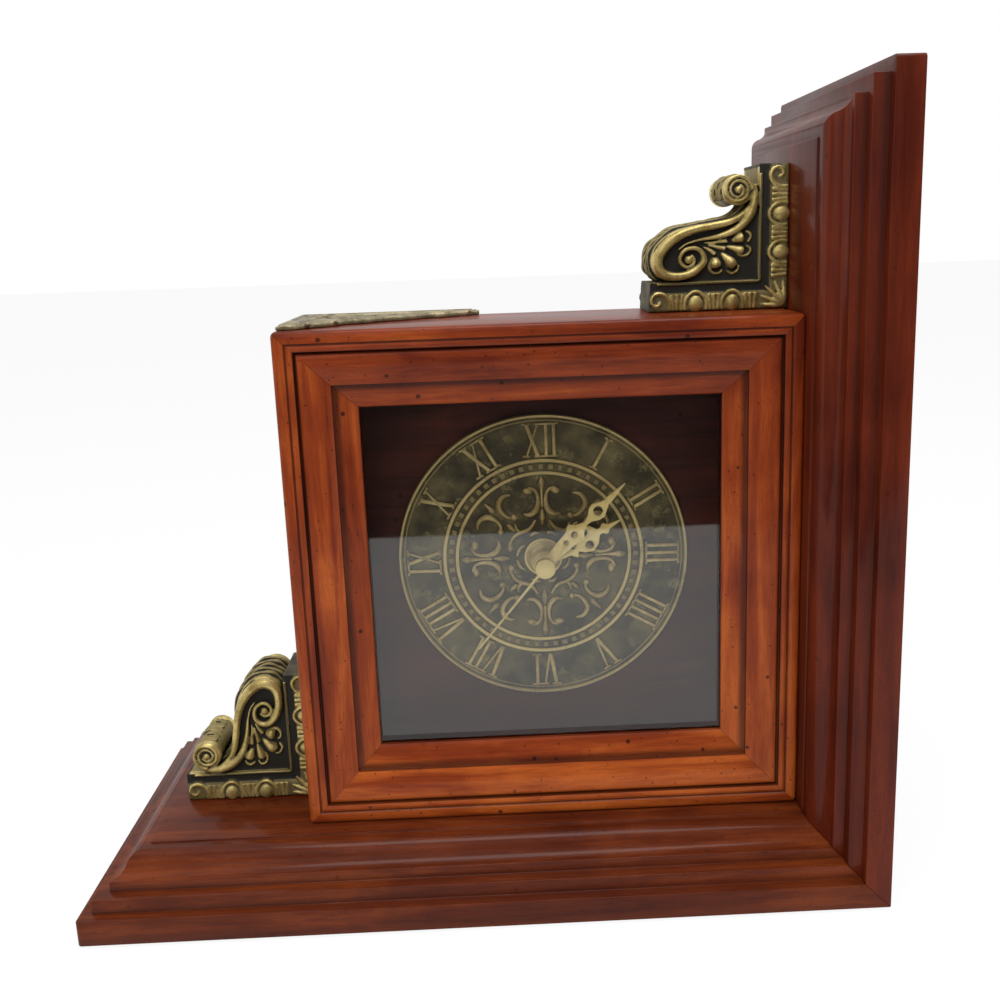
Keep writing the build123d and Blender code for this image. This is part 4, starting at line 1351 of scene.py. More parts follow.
@dataclass
class Brackets(Assembly):
    """The two cast scroll brackets, modelled once, carved on both faces and through their depth.

    X runs out from the leg's seat, Y up from the foot's seat and Z towards a face, from
    the middle of the casting.
    """

    plinth_reach: float = 6.4
    cove_reach: float = 9.9
    foot_length: float = 47.0
    leg_length: float = 47.6
    rib_place: float = 9.5
    field_level: float = 10.4
    cove_level: float = 11.5
    plinth_level: float = 12.7
    grain_size: float = 0.3
    cast_round: float = 1.1
    plinth_patina: float = 0.46
    end_patina: float = 0.5
    side_patina: float = 0.45
    edge_patina: float = 0.36
    roll_radius: float = 4.5
    roll_steps: int = 40
    roll_level: float = 12.4
    roll_lip: float = 1.1
    lip_levels: Place = (9.6, 12.3)
    vein_rows: Sequence[float] = (-7.2, -3.6, 0.0, 3.6, 7.2)
    vein_height: float = 1.15
    tuft_height: float = 0.95
    tuft_reach: float = 4.3
    tuft_angles: Sequence[float] = (-0.7, 0.0, 0.7, 1.4, 2.1, 2.8)
    wave_height: float = 0.35
    wave_along: float = 2.3
    wave_across: float = 1.9
    small_volute: Place = (17.1, 39.3)
    spiral_steps: int = 45
    spiral_turn_steps: int = 20
    spiral_reach: Place = (4.75, 1.45)
    spiral_half: Place = (0.62, 0.1)
    large_eye: Place = (33.5, 17.2)
    egg_places: Sequence[float] = (18.9, 31.3)
    dart_places: Sequence[float] = (12.8, 25.1, 37.5)
    dart_leans: Sequence[Place] = ((-1.3, -0.5), (0.0, 0.0), (1.3, 0.5))
    curl_place: float = 43.4
    arch: Sequence[Point] = (
        (-3.5, 0.5, 0.55), (-3.6, 2.6, 0.6), (-3.0, 4.7, 0.65), (-1.6, 6.2, 0.65),
        (0.0, 6.7, 0.65), (1.6, 6.2, 0.65), (3.0, 4.7, 0.65), (3.6, 2.6, 0.6), (3.5, 0.5, 0.55),
    )
    curl: Sequence[Point] = (
        (-3.3, 0.5, 0.5), (-3.4, 3.0, 0.6), (-2.2, 5.4, 0.7), (0.2, 6.4, 0.75), (2.3, 5.5, 0.75),
        (2.9, 3.6, 0.7), (1.8, 2.2, 0.6), (0.3, 2.4, 0.5), (-0.1, 3.6, 0.45),
    )
    edge: Sequence[Place] = (
        (12.0, 35.4), (14.7, 32.6), (18.2, 30.5), (22.7, 29.3), (28.0, 28.6), (33.3, 27.9),
        (37.8, 26.7), (41.3, 24.7), (44.0, 22.2), (45.5, 19.5), (45.9, 16.8), (45.3, 14.3),
        (43.6, 12.0), (41.1, 10.6),
    )
    outer_lip: Sequence[Point] = (
        (12.2, 35.4, 0.45), (14.9, 31.9, 0.8), (18.4, 29.6, 1.1), (24.4, 28.2, 1.25),
        (31.1, 27.1, 1.35), (36.9, 25.1, 1.6), (41.1, 22.1, 1.8), (43.8, 18.1, 1.9),
        (43.5, 14.7, 1.8), (40.9, 12.3, 1.65), (36.0, 11.9, 1.4), (31.6, 13.3, 1.35),
        (28.8, 15.8, 1.2), (28.4, 18.1, 1.0), (29.6, 20.1, 0.85), (31.8, 21.0, 0.75),
        (34.7, 20.4, 0.7), (36.4, 18.1, 0.7), (35.9, 15.9, 0.65), (34.0, 14.8, 0.6),
        (32.1, 15.5, 0.55), (31.5, 17.3, 0.5), (32.6, 18.8, 0.45),
    )
    inner_lip: Sequence[Point] = (
        (11.8, 41.0, 0.9), (11.4, 37.6, 1.2), (11.8, 34.7, 1.5), (12.9, 31.6, 1.65),
        (15.3, 28.3, 1.5), (19.1, 25.9, 1.2), (24.4, 24.4, 0.75), (29.8, 23.6, 0.45),
        (34.2, 22.4, 0.35), (36.9, 20.5, 0.25),
    )
    leaves: Sequence[Sequence[Point]] = (
        ((28.0, 22.6, 0.25), (24.4, 22.7, 0.6), (20.4, 23.1, 0.95)),
        ((26.7, 21.7, 0.25), (23.6, 21.1, 0.65), (21.0, 20.5, 0.9)),
        ((28.4, 21.3, 0.25), (26.2, 20.1, 0.65), (24.4, 18.7, 0.85)),
        ((18.8, 23.0, 0.7), (17.3, 23.6, 1.5), (15.8, 24.1, 1.95), (15.1, 24.3, 1.6)),
        ((20.4, 21.1, 0.45), (18.2, 20.6, 1.0), (16.0, 19.9, 1.55), (14.9, 19.7, 1.3)),
        ((22.3, 19.1, 0.45), (20.9, 17.6, 1.25), (19.1, 15.8, 1.9), (17.9, 14.5, 1.4)),
        ((24.4, 17.6, 1.0), (24.4, 16.0, 2.1), (24.3, 14.9, 2.0), (24.2, 14.3, 1.4)),
    )
    leaf_rims: Sequence[Sequence[Point]] = (
        ((14.4, 26.1, 0.35), (12.9, 25.4, 0.4), (12.4, 24.1, 0.4), (13.4, 22.4, 0.35)),
        (
            (14.0, 21.3, 0.3), (12.5, 20.2, 0.4), (13.1, 18.5, 0.4), (15.1, 17.9, 0.35),
            (16.9, 18.6, 0.3),
        ),
        ((16.5, 14.8, 0.35), (16.8, 13.3, 0.4), (18.7, 12.3, 0.4), (20.4, 13.3, 0.3)),
        (
            (26.2, 16.0, 0.4), (26.3, 14.1, 0.45), (24.8, 12.6, 0.4), (22.8, 12.6, 0.35),
            (22.0, 13.7, 0.3),
        ),
    )

    def ell(self, reach: float) -> List[Place]:
        """The outline of the foot and the leg, as wide as their reach from the seats."""
        return [
            (0.0, 0.0), (self.foot_length, 0.0), (self.foot_length - 0.6, reach), (reach, reach),
            (reach, self.leg_length), (0.0, self.leg_length),
        ]

    def scroll_outline(self) -> List[Place]:
        """The outline of the scroll's body, from the leg's head round to the foot."""
        x, y = self.small_volute
        reach = self.plinth_reach
        edge = flowing(self.edge, LINE_STEPS)
        return [(reach, y + 3.0), (x - 3.0, y), *edge, (41.0, reach), (reach, reach)]

    def body(self) -> List[bpy.types.Object]:
        """The casting's plain masses, through its whole depth."""
        x, y = self.small_volute
        turns = [math.tau * step / self.roll_steps for step in range(self.roll_steps)]
        roll = [circling(self.small_volute, self.roll_radius, turn) for turn in turns]
        lip_roll = [(x + (a - x) * self.roll_lip, y + (b - y) * self.roll_lip) for a, b in roll]
        low, high = self.lip_levels
        plinth = slab("plinth", self.ell(self.plinth_reach), -self.plinth_level, self.plinth_level)
        ease(plinth, self.cast_round, segments=3)
        return [
            plinth,
            slab("cove", self.ell(self.cove_reach), -self.cove_level, self.cove_level),
            slab("field", self.scroll_outline(), -self.field_level, self.field_level),
            slab("roll", roll, -self.roll_level, self.roll_level),
            slab("near_roll", lip_roll, low, high),
            slab("far_roll", lip_roll, -high, -low),
        ]

    def carving(self) -> List[bpy.types.Object]:
        """The relief of one face."""
        x, y = self.small_volute
        widest, closing = self.spiral_reach
        thickest, thinning = self.spiral_half
        spiral = []
        for step in range(self.spiral_steps):
            turn = step / self.spiral_turn_steps
            angle = math.tau * turn
            reach = widest - closing * turn
            place = (x - reach * math.cos(angle), y + reach * math.sin(angle))
            spiral.append((*place, thickest - thinning * turn))
        pieces = [
            ridge("outer_lip", self.outer_lip, height=11.9, lift=1.15, sides=3),
            ridge("inner_lip", self.inner_lip, height=11.6, lift=1.2, sides=3),
            ridge("small_spiral", spiral, height=12.7, lift=1.3),
            dome("small_eye", self.small_volute, (1.3, 1.3), height=12.4, tall=1.5),
            dome("large_eye", self.large_eye, (1.35, 1.35), height=11.9, tall=1.5),
        ]
        pieces += [ridge("leaf", leaf, height=10.5, lift=1.5) for leaf in self.leaves]
        pieces += [ridge("leaf_rim", rim, height=10.7, lift=1.6) for rim in self.leaf_rims]
        end = self.rib_place
        ribs = (
            ((end, end + 0.3, 0.42), (end, 26.0, 0.42), (end - 0.2, self.leg_length - 3.2, 0.42)),
            ((end + 0.3, end, 0.42), (26.0, end, 0.42), (self.foot_length - 3.0, end - 0.2, 0.42)),
        )
        pieces += [ridge("rib", rib, height=11.6, lift=1.7) for rib in ribs]
        for turned in (False, True):
            pieces += self.moulding(turned)
        pieces += self.corner_leaf()
        return pieces

    def moulding(self, turned: bool) -> List[bpy.types.Object]:
        """The egg and dart along the foot, or along the leg when turned.

        Args:
            turned: Whether it runs up the leg.

        Returns:
            Its pieces.
        """

        def lay(
            name: str, middle: float, points: Sequence[Point], sink: float, lift: float
        ) -> None:
            """Adds a ridge whose points lie along the moulding from a middle, and across it."""
            line = [(middle + along, across, half) for along, across, half in points]
            if turned:
                line = [(across, along, half) for along, across, half in line]
            pieces.append(ridge(name, line, self.plinth_level - sink, lift))

        pieces: List[bpy.types.Object] = []
        for middle in self.egg_places:
            lay("arch", middle, self.arch, sink=0.1, lift=1.3)
            place, half = (middle, 2.7), (2.45, 2.9)
            if turned:
                place, half = place[::-1], half[::-1]
            pieces.append(dome("egg", place, half, self.plinth_level - 0.2, tall=1.5))
        for middle in self.dart_places:
            for offset, lean in self.dart_leans:
                dart = ((0.0, 0.5, 0.5), (lean * 0.4, 3.0, 0.58), (lean, 6.0, 0.8))
                lay("dart", middle + offset, dart, sink=0.15, lift=1.2)
        lay("curl", self.curl_place, self.curl, sink=0.1, lift=1.3)
        return pieces

    def corner_leaf(self) -> List[bpy.types.Object]:
        """The leaf that covers the corner between the foot and the leg."""
        tips = ((9.4, 1.7), (9.2, 4.6), (7.9, 7.9), (4.6, 9.2), (1.7, 9.4))
        pieces = []
        for x, y in tips:
            blade = ((1.6, 1.6, 0.8), (0.45 * x + 0.6, 0.45 * y + 0.6, 1.05), (x, y, 0.3))
            pieces.append(ridge("blade", blade, self.plinth_level - 0.1, lift=1.15))
        return pieces

    def foliage(self) -> List[bpy.types.Object]:
        """The carved leaf that wraps the scroll between its two faces."""
        pieces = []
        middle, reach = self.small_volute, self.tuft_reach
        rounded = [circling(middle, reach, angle) for angle in self.tuft_angles]
        paths = (("vein", self.edge, self.vein_height), ("tuft", rounded, self.tuft_height))
        for row, across in enumerate(self.vein_rows):
            for name, path, base in paths:
                line = []
                for step, (x, y) in enumerate(path):
                    phase = self.wave_along * step + self.wave_across * row
                    line.append((x, y, base + self.wave_height * math.sin(phase)))
                piece = ridge(name, line, height=0.0, lift=1.15)
                piece.location = (0.0, 0.0, across * MM)
                settle(piece)
                pieces.append(piece)
        return pieces

    def casting(self) -> bpy.types.Object:
        """The whole bracket in its own axes."""
        face = join(self.carving(), "carving")
        back = twin(face, "back_carving")
        back.scale = (1.0, 1.0, -1.0)
        settle(back)
        with editing(back):
            bpy.ops.mesh.flip_normals()
        cast = join([*self.body(), *self.foliage(), face, back], "scroll_casting")
        finish_modifier(cast, "REMESH", mode="VOXEL", voxel_size=self.grain_size * MM)
        finish_modifier(cast, "SMOOTH", factor=0.5, iterations=2)
        mark_hollows(cast, reach=3.0, rays=20, gain=1.5)
        self.stain(cast)
        smooth(cast, degrees=60.0)
        return cast

    def patina(self, x: float, y: float, level: float, normal: Vector) -> float:
        """How much dark patina a point of the casting holds because of where it lies.

        Args:
            x: Its place along the foot, in millimetres.
            y: Its place up the leg.
            level: Its distance from the casting's middle plane.
            normal: Its normal.

        Returns:
            The share, from 0 to 1.
        """
        across = min(x, y)
        if abs(normal.z) > 0.7:
            if across > self.cove_reach:
                return 1.0 if level < self.field_level + 0.35 else 0.0
            if level < self.cove_level + 0.3:
                return 1.0
            return self.plinth_patina if level < self.plinth_level + 0.12 else 0.0
        ends = x > self.foot_length - 1.6 or y > self.leg_length - 1.2
        if ends and across < self.cove_reach + 0.6:
            return self.end_patina
        if level > self.plinth_level + 0.1:
            return 0.0
        if across < self.plinth_reach + 0.8:
            return self.side_patina
        return self.edge_patina if level < self.field_level - 1.0 else 0.0

    def stain(self, cast: bpy.types.Object) -> None:
        """Adds the patina of the flat fields and the ends to the hollow mark."""
        hollow = cast.data.attributes["hollow"]
        for vertex, mark in zip(cast.data.vertices, hollow.data):
            x, y, z = vertex.co / MM
            mark.value = max(mark.value, self.patina(x, y, abs(z), vertex.normal))

    def seat(self, cast: bpy.types.Object, node: str, axes: Sequence[Point]) -> None:
        """Sets a copy of the casting in the lower right corner of its node's box.

        Args:
            cast: The casting.
            node: The frame node that the copy stands for.
            axes: Where the casting's X, Y and Z point.
        """
        low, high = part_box(node)
        corner = Vector((high.x, (low.y + high.y) / 2, low.z))
        piece = twin(cast, node.replace("bracket", "scroll"))
        turn = Matrix([Vector(axis) for axis in axes]).transposed().to_4x4()
        piece.matrix_world = Matrix.Translation(corner) @ turn
        settle(piece)
        self.hand_over(piece, "antique_brass", "antique_brass", replaced=[node])

    def build(self) -> None:
        """Makes both brackets."""
        cast = self.casting()
        self.seat(cast, "upper_bracket", ((-1, 0, 0), (0, 0, 1), (0, 1, 0)))
        self.seat(cast, "lower_bracket", ((0, 0, 1), (-1, 0, 0), (0, -1, 0)))
        bpy.data.objects.remove(cast)


@dataclass
class Dial(Assembly):
    """The cast dial: a rimmed plate with raised numerals, block ring and scroll tracery.

    X runs to the right, Y up and Z towards the viewer, from the middle of its face.
    """

    radius: float = 51.5
    thickness: float = 2.5
    bore: float = 4.2
    ring_inner: Place = (30.2, 31.2)
    ring_outer: Place = (34.6, 35.65)
    ring_height: float = 0.55
    ring_slope: float = 0.25
    rim: Sequence[Place] = (
        (2.6, 0.0), (2.4, 0.2), (2.0, 0.2), (1.8, 0.0), (1.4, 0.0), (1.2, 0.65), (0.9, 0.9),
        (0.35, 0.9), (0.0, 0.5),
    )
    block_count: int = 60
    block_radius: float = 32.9
    block_size: Place = (1.85, 1.9)
    block_flare: float = 0.53
    block_round: float = 0.28
    numeral_foot: float = 36.3
    numeral_height: float = 12.2
    numeral_round: float = 0.2
    numeral_inset: float = 1.35
    thick: float = 1.45
    thin: float = 0.85
    serif: float = 0.8
    relief_height: float = 0.75
    block_height: float = 0.45
    sunk: float = 0.2
    patina_and_shade_height: float = 0.26
    channel_patina: float = 0.34
    boldness: float = 1.15
    numerals: Sequence[str] = (
        "XII", "I", "II", "III", "IIII", "V", "VI", "VII", "VIII", "IX", "X", "XI",
    )
    advances: Dict[str, float] = field(default_factory=lambda: {"I": 2.75, "V": 6.9, "X": 6.9})
    spear: Sequence[Point] = (
        (0.0, 29.4, 0.4), (0.0, 28.4, 1.0), (0.0, 27.0, 1.4), (0.0, 25.4, 0.85),
        (0.0, 22.4, 0.45), (0.0, 18.4, 0.4),
    )
    drop: Sequence[Point] = (
        (0.0, 17.6, 0.35), (0.0, 15.6, 0.9), (0.0, 14.4, 1.15), (0.0, 12.0, 0.4),
    )
    axis_scroll: Sequence[Point] = (
        (4.6, 25.3, 0.6), (3.0, 24.9, 0.65), (1.9, 23.8, 0.65), (1.35, 21.6, 0.75),
        (1.55, 18.8, 1.05), (2.6, 16.8, 1.2), (4.4, 15.7, 0.95), (6.5, 15.9, 0.35),
    )
    axis_ball: Place = (5.0, 24.2)
    crescent: Sequence[Point] = (
        (8.5, 24.1, 0.35), (7.2, 25.2, 0.75), (5.3, 25.6, 1.05), (2.9, 24.6, 1.2),
        (1.8, 21.9, 0.95), (2.0, 19.2, 0.7), (3.0, 18.0, 0.6),
    )
    crescent_ball: Place = (3.6, 17.6)
    vine: Sequence[Point] = (
        (2.5, 13.7, 0.5), (3.7, 11.6, 0.7), (5.4, 10.1, 0.8), (7.9, 9.3, 0.8), (10.2, 7.9, 0.75),
        (11.6, 5.8, 0.7), (11.8, 4.4, 0.6),
    )
    vine_ball: Place = (11.7, 3.6)
    thorn: Sequence[Point] = ((7.9, 9.4, 0.7), (9.2, 10.7, 0.65), (9.5, 12.5, 0.35))
    commas: Sequence[Sequence[Point]] = (
        ((9.4, 0.7, 0.5), (8.4, 3.3, 0.65), (6.7, 4.5, 0.4)),
        ((1.5, 8.9, 0.5), (3.0, 8.9, 0.65), (4.4, 7.9, 0.4)),
    )
    diagonal_spear: Sequence[Point] = (
        (0.0, 28.6, 0.3), (0.0, 26.6, 0.75), (0.0, 24.9, 1.05), (0.0, 23.6, 0.5),
    )
    diagonal_drop: Sequence[Point] = ((0.0, 17.6, 0.4), (0.0, 16.0, 0.95), (0.0, 14.0, 0.6))

    def plate(self) -> bpy.types.Object:
        """The plate with its rim and its two rings."""
        rise, slope = self.ring_height, self.ring_slope
        section = [(self.bore, -self.thickness), (self.bore, 0.0)]
        for low, high in (self.ring_inner, self.ring_outer):
            section += [(low - slope, 0.0), (low, rise), (high, rise), (high + slope, 0.0)]
        section += [(self.radius - inwards, height) for inwards, height in self.rim]
        section.append((self.radius, -self.thickness))
        plate = loop_of("dial_plate", [(reach, 0.0, height) for reach, height in section])
        spin_round(plate, ORIGIN, steps=144, axis=UP)
        raised = plate.data.attributes.new("raised", "FLOAT", "POINT")
        for vertex, mark in zip(plate.data.vertices, raised.data):
            mark.value = min(1.0, max(0.0, vertex.co.z / (0.5 * MM)))
        return plate

    def stroke(self, start: Place, end: Place, width: float) -> bpy.types.Object:
        """One straight stroke of a numeral, cut level at its ends."""
        lean = abs(end[0] - start[0])
        rise = abs(end[1] - start[1])
        half = 0.5 * width * math.hypot(lean, rise) / rise
        steps = ((start, -half), (start, half), (end, half), (end, -half))
        outline = [(place[0] + aside, place[1]) for place, aside in steps]
        return slab("stroke", outline, -self.sunk, self.relief_height)

    def foot(self, middle: float, height: float, half: float) -> bpy.types.Object:
        """One serif, across the end of a stroke."""
        rise = 0.5 * self.serif
        outline = rectangle(middle - half, height - rise, middle + half, height + rise)
        return slab("serif", outline, -self.sunk, self.relief_height)

    def letter(self, letter: str, left: float) -> List[bpy.types.Object]:
        """The strokes and serifs of one letter.

        Args:
            letter: I, V or X.
            left: Where it starts along the numeral.

        Returns:
            The strokes and serifs.
        """
        top = self.numeral_height
        low, high = 0.5 * self.serif, top - 0.5 * self.serif
        wide = self.advances[letter]
        middle = left + 0.5 * wide
        lean = 0.5 * wide - self.numeral_inset
        # Each stroke's foot, head and width, and each serif's place, height and half width
        strokes, serifs = {
            "I": (
                ((0.0, 0.0, self.thick * 0.9),),
                ((0.0, low, 0.5 * wide + 0.2), (0.0, high, 0.5 * wide + 0.2)),
            ),
            "V": (
                ((-0.2, -lean, self.thick), (0.2, lean, self.thin)),
                ((-lean, high, 1.6), (lean, high, 1.4)),
            ),
            "X": (
                ((lean, -lean, self.thick), (-lean, lean, self.thin)),
                ((-lean, high, 1.5), (lean, high, 1.4), (-lean, low, 1.4), (lean, low, 1.5)),
            ),
        }[letter]
        return [
            *[self.stroke((middle + a, 0.0), (middle + b, top), width) for a, b, width in strokes],
            *[self.foot(middle + aside, height, half) for aside, height, half in serifs],
        ]

    def numeral(self, text: str, hour: int) -> bpy.types.Object:
        """A whole numeral, its foot towards the middle of the dial."""
        width = sum(self.advances[letter] for letter in text)
        left = -0.5 * width
        strokes = []
        for letter in text:
            strokes += self.letter(letter, left)
            left += self.advances[letter]
        piece = join(strokes, f"numeral_{hour}")
        ease(piece, self.numeral_round)
        piece.location = (0.0, self.numeral_foot * MM, 0.0)
        settle(piece)
        return self.turn(piece, -30.0 * hour)

    def turn(self, piece: bpy.types.Object, degrees: float) -> bpy.types.Object:
        """Turns a piece about the middle of the dial."""
        piece.rotation_euler = (0.0, 0.0, math.radians(degrees))
        settle(piece)
        return piece

    def repeat(self, piece: bpy.types.Object, angles: Sequence[float]) -> List[bpy.types.Object]:
        """Copies a piece to angles about the middle of the dial, and removes the first."""
        copies = [self.turn(twin(piece, piece.name), angle) for angle in angles]
        bpy.data.objects.remove(piece)
        return copies

    def mirrored(self, piece: bpy.types.Object) -> bpy.types.Object:
        """A piece with its mirror image across Y."""
        other = twin(piece, piece.name)
        other.scale = (-1.0, 1.0, 1.0)
        settle(other)
        with editing(other):
            bpy.ops.mesh.normals_make_consistent(inside=False)
        return join([piece, other], piece.name)

    def blocks(self) -> List[bpy.types.Object]:
        """The ring of small blocks."""
        wide, tall = self.block_size
        low = self.block_radius - 0.5 * tall
        high = low + tall
        half, flared = 0.5 * wide, self.block_flare * wide
        outline = [(-half, low), (half, low), (flared, high), (-flared, high)]
        block = slab("block", outline, -self.sunk, self.block_height)
        ease(block, self.block_round)
        steps = range(self.block_count)
        return self.repeat(block, [360.0 * step / self.block_count for step in steps])

    def scroll(self, name: str, points: Sequence[Point], lift: float) -> bpy.types.Object:
        """One raised line of the tracery."""
        return ridge(name, [(x, y, half * self.boldness) for x, y, half in points], 0.0, lift)

    def tracery(self) -> List[bpy.types.Object]:
        """The scroll tracery inside the block ring."""
        quarters = (0.0, 90.0, 180.0, 270.0)
        scrolls = [
            self.scroll("axis_scroll", self.axis_scroll, lift=0.8),
            dome("axis_ball", self.axis_ball, (1.85, 1.35), height=0.0, tall=0.85),
        ]
        crescents = [
            self.scroll("crescent", self.crescent, lift=0.75),
            dome("crescent_ball", self.crescent_ball, (1.3, 1.3), height=0.0, tall=0.85),
        ]
        vines = [
            self.scroll("vine", self.vine, lift=0.95),
            self.scroll("thorn", self.thorn, lift=0.9),
            dome("vine_ball", self.vine_ball, (1.25, 1.25), height=0.0, tall=0.8),
            *[self.scroll("comma", comma, lift=0.9) for comma in self.commas],
        ]
        axis = [
            self.scroll("spear", self.spear, lift=0.75),
            self.scroll("drop", self.drop, lift=0.8),
            self.mirrored(join(scrolls, "scrolls")),
        ]
        diagonal = [
            self.scroll("diagonal_spear", self.diagonal_spear, lift=0.75),
            self.scroll("diagonal_drop", self.diagonal_drop, lift=0.8),
            self.mirrored(join(crescents, "crescents")),
        ]
        half = self.mirrored(join(vines, "vines"))
        return [
            *self.repeat(join(axis, "axis_tracery"), quarters),
            *self.repeat(join(diagonal, "diagonal_tracery"), [angle + 45.0 for angle in quarters]),
            *self.repeat(half, (0.0, 180.0)),
        ]

    def stain(self, relief: bpy.types.Object) -> None:
        """Marks the foot of the relief with patina and painted shade, and its blocks in the channel
        with patina.
        """
        hollow = relief.data.attributes.new("hollow", "FLOAT", "POINT")
        for vertex, mark in zip(relief.data.vertices, hollow.data):
            # Patina and painted shade: the relief darkens towards its foot
            foot = 1.1 - vertex.co.z / (self.patina_and_shade_height * MM)
            reach = Vector((vertex.co.x, vertex.co.y)).length / MM
            channel = self.ring_inner[1] < reach < self.ring_outer[0]
            mark.value = min(1.0, max(self.channel_patina if channel else 0.0, foot))

    def build(self) -> None:
        """Makes the dial."""
        low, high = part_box("dial")
        middle = Vector(((low.x + high.x) / 2, high.y - self.thickness * MM, (low.z + high.z) / 2))
        turn = Matrix(((1, 0, 0), (0, 0, 1), (0, -1, 0))).transposed().to_4x4()
        plate = self.plate()
        numerals = [self.numeral(text, hour) for hour, text in enumerate(self.numerals)]
        relief = join([*numerals, *self.blocks(), *self.tracery()], "dial_relief")
        self.stain(relief)
        for piece in (plate, relief):
            piece.matrix_world = Matrix.Translation(middle) @ turn
            settle(piece)
        smooth(plate, degrees=40.0)
        smooth(relief, degrees=50.0)
        self.hand_over(plate, "dial_bronze", "dark_brass", replaced=["dial"])
        self.hand_over(relief, "dial_brass", "dark_brass")


@dataclass
class Plaque(Assembly):
    """The cast leaf plaque in the back corner of the case's top.

    X runs to the right along the case's back and Y from it to the front, as minus Y, from
    the plaque's own corner. Z is up.
    """

    thickness: float = 1.5
    length: float = 64.0
    foot: float = 0.05
    lobe_steps: int = 5
    lobes: Sequence[Place] = (
        (0.0, 48.0), (5.6, 46.6), (10.9, 41.3), (14.4, 39.0), (21.1, 30.7), (24.6, 29.6),
        (33.3, 22.6), (37.2, 21.6), (47.4, 13.9), (51.4, 13.2), (64.0, 5.8),
    )
    stem: Sequence[Point] = (
        (4.2, 44.0, 0.5), (5.6, 34.0, 0.9), (7.6, 24.0, 1.2), (12.6, 15.4, 1.4), (22.0, 9.4, 1.3),
        (34.0, 6.6, 1.1), (48.0, 5.0, 0.8), (60.0, 4.2, 0.4),
    )
    leaves: Sequence[Sequence[Point]] = (
        ((7.2, 34.0, 0.5), (8.6, 39.0, 1.5), (9.4, 43.2, 0.5)),
        ((9.0, 25.0, 0.5), (13.4, 31.4, 1.9), (17.0, 35.2, 0.6)),
        ((13.6, 17.6, 0.6), (20.4, 23.0, 2.2), (26.2, 26.2, 0.6)),
        ((23.6, 11.2, 0.6), (31.2, 15.8, 2.0), (38.4, 18.0, 0.5)),
        ((36.0, 7.8, 0.5), (43.6, 10.8, 1.6), (51.4, 11.6, 0.5)),
        ((49.0, 5.8, 0.4), (54.6, 7.4, 1.1), (60.2, 7.2, 0.4)),
    )
    eye: Place = (10.4, 9.8)
    eye_turns: float = 1.6
    eye_steps: int = 26
    eye_start: float = 0.9
    eye_reaches: Place = (7.0, 1.4)
    eye_halves: Place = (1.25, 0.6)
    grain_size: float = 0.32
    border: Sequence[Point] = (
        (1.3, 45.0, 0.9), (1.3, 20.0, 0.9), (1.3, 1.3, 0.9), (30.0, 1.3, 0.9), (61.5, 1.3, 0.9),
    )

    def curl(self) -> List[Point]:
        """The scroll in the corner, winding in to its eye."""
        widest, closest = self.eye_reaches
        thickest, thinning = self.eye_halves
        line = []
        for step in range(self.eye_steps):
            share = step / (self.eye_steps - 1)
            reach = widest * (1 - share) + closest * share
            angle = math.tau * self.eye_turns * share + self.eye_start
            half = thickest - thinning * share
            line.append((*circling(self.eye, reach, angle), half))
        return line

    def front(self, line: Sequence[Sequence[float]]) -> List[Tuple[float, ...]]:
        """A line with Y to the front, as Blender's axes have it."""
        return [(point[0], -point[1], *point[2:]) for point in line]

    def build(self) -> None:
        """Makes the plaque."""
        top = self.thickness
        edge = self.front(flowing(self.lobes, self.lobe_steps))
        outline = [(0.0, 0.0), *edge, (self.length, 0.0)]
        plate = slab("plate", outline, self.foot, top)
        inner = [(x - 1.0 if x > 1.5 else 1.2, y - 1.1, 0.85) for x, y in self.lobes]
        pieces = [
            plate,
            ridge("rim", self.front(inner), top, lift=0.7),
            ridge("border", self.front(self.border[:3]), top, lift=0.7),
            ridge("border", self.front(self.border[2:]), top, lift=0.7),
            ridge("stem", self.front(self.stem), top, lift=0.75),
            ridge("curl", self.front(self.curl()), top, lift=0.8),
            dome("eye", (self.eye[0], -self.eye[1]), (1.7, 1.7), top, tall=1.1),
        ]
        for leaf in self.leaves:
            line = self.front(leaf)
            pieces.append(ridge("leaf", line, top - 0.2, lift=0.6))
            pieces.append(dome("bud", line[-1][:2], (1.0, 1.0), top, tall=0.8))
        cast = join(pieces, "corner_plaque")
        finish_modifier(cast, "REMESH", mode="VOXEL", voxel_size=self.grain_size * MM)
        finish_modifier(cast, "SMOOTH", factor=0.5, iterations=2)
        mark_hollows(cast, reach=2.5, rays=20, gain=1.7)
        low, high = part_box("top_ornament")
        cast.location = (low.x, high.y, low.z)
        settle(cast)
        smooth(cast, degrees=60.0)
        self.hand_over(cast, "plaque_bronze", "dark_brass", replaced=["top_ornament"])


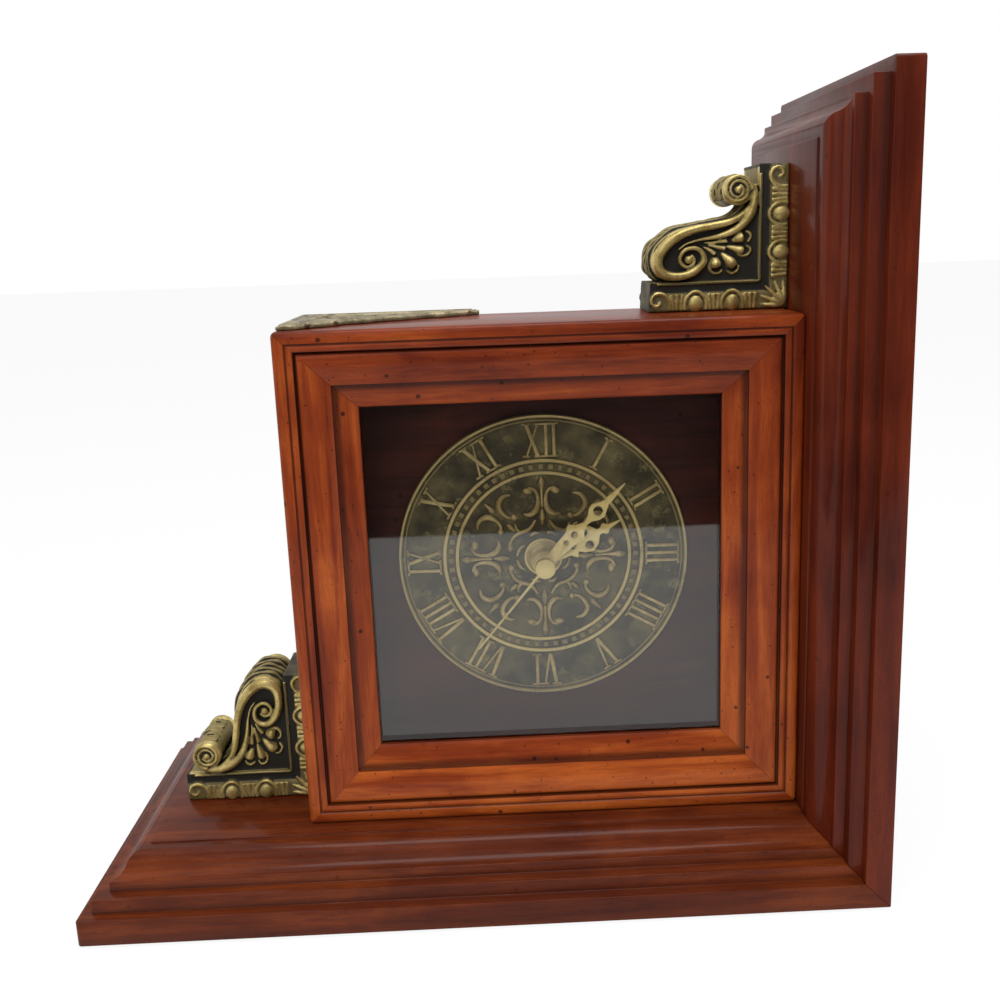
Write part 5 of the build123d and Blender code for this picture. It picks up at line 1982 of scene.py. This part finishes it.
@dataclass
class Studio:
    """The floor, the lights and the camera at the photograph's angle."""

    finishes: Finishes
    camera_place: Point = (10.182, -383.965, 222.446)
    yaw: float = -0.023763
    pitch: float = 0.218771
    roll: float = -0.034349
    lens: float = 39.47
    shift: Place = (-0.0266, -0.0196)
    floor_size: float = 12.0
    sky: float = 0.58
    card_place: float = -0.486
    card_size: Place = (3.0, 1.6)
    white: Colour = tone(255, 255, 255)
    # Name, place and target in metres, width in metres and power in watts
    lamps: Sequence[Tuple[str, Point, Point, float, float]] = (
        ("front_lamp", (-0.5, -1.1, 0.9), (0.0, 0.0, 0.12), 0.8, 9.0),
        ("top_lamp", (0.1, -0.35, 1.3), (0.0, 0.0, 0.1), 1.0, 14.0),
        ("right_lamp", (1.1, -0.5, 0.6), (0.0, 0.0, 0.12), 0.6, 3.0),
    )

    def camera(self) -> None:
        """Sets the camera."""
        deselect()
        bpy.ops.object.camera_add()
        camera = bpy.context.object
        cy, sy = math.cos(self.yaw), math.sin(self.yaw)
        cp, sp = math.cos(self.pitch), math.sin(self.pitch)
        cr, sr = math.cos(self.roll), math.sin(self.roll)
        flat = Vector((cy, sy, 0.0))
        lift = Vector((-sp * sy, sp * cy, cp))
        right = flat * cr + lift * sr
        up = lift * cr - flat * sr
        ahead = Vector((-cp * sy, cp * cy, -sp))
        turn = Matrix((right, up, -ahead)).transposed().to_4x4()
        camera.matrix_world = Matrix.Translation(Vector(self.camera_place) * MM) @ turn
        camera.data.lens = self.lens
        camera.data.sensor_width = 36.0
        camera.data.shift_x, camera.data.shift_y = self.shift
        camera.data.clip_start = 0.01
        bpy.context.scene.camera = camera

    def floor(self) -> None:
        """Lays a flat pale floor under the clock."""
        deselect()
        bpy.ops.mesh.primitive_plane_add(size=self.floor_size)
        floor = bpy.context.object
        floor.name = "floor"
        self.finishes.dress(floor, "paper")

    def dark_card(self) -> None:
        """Stands a dark card behind the camera, shown in mirrors and panes alone."""
        deselect()
        wide, tall = self.card_size
        bpy.ops.mesh.primitive_plane_add(
            size=1.0, location=(0.0, self.card_place, tall / 2), rotation=(-math.pi / 2, 0.0, 0.0)
        )
        card = bpy.context.object
        card.name = "dark_card"
        card.scale = (wide, tall, 1.0)
        settle(card)
        for ray in ("camera", "diffuse", "shadow", "transmission"):
            setattr(card, f"visible_{ray}", False)
        self.finishes.dress(card, "dark_card")

    def lamp(self, name: str, place: Point, target: Point, size: float, power: float) -> None:
        """Adds a soft rectangular lamp.

        Args:
            name: Its name.
            place: Where it hangs, in metres.
            target: What it points at, in metres.
            size: Its width, in metres.
            power: Its power, in watts.
        """
        deselect()
        bpy.ops.object.light_add(type="AREA", location=place)
        lamp = bpy.context.object
        lamp.name = name
        lamp.data.size = size
        lamp.data.energy = power
        aim = Vector(target) - Vector(place)
        lamp.rotation_euler = aim.to_track_quat("-Z", "Y").to_euler()

    def world(self) -> None:
        """Fills the room with soft white light, pure white where it is seen or mirrored."""
        world = bpy.data.worlds.new("studio_room")
        bpy.context.scene.world = world
        recipe = Recipe(world.name, world)
        strength = self.sky + recipe.seen() * (1.0 - self.sky)
        values = {"Color": self.white, "Strength": strength}
        room = recipe.node("ShaderNodeBackground", {}, values)
        recipe.node("ShaderNodeOutputWorld", {}, {"Surface": room})

    def build(self) -> None:
        """Makes the studio."""
        self.camera()
        self.floor()
        self.dark_card()
        for lamp in self.lamps:
            self.lamp(*lamp)
        self.world()
        bpy.context.scene.view_settings.view_transform = "Standard"


def main() -> None:
    """Builds the clock and its studio."""
    logging.basicConfig(level=logging.INFO, format="%(message)s")
    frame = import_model()
    finishes = Finishes()
    assemblies: List[Assembly] = [
        Stand(frame, finishes),
        Case(frame, finishes),
        Movement(frame, finishes),
        Hands(frame, finishes),
        Brackets(frame, finishes),
        Dial(frame, finishes),
        Plaque(frame, finishes),
    ]
    for assembly in assemblies:
        assembly.build()
    Studio(finishes).build()


if __name__ == "__main__":
    main()
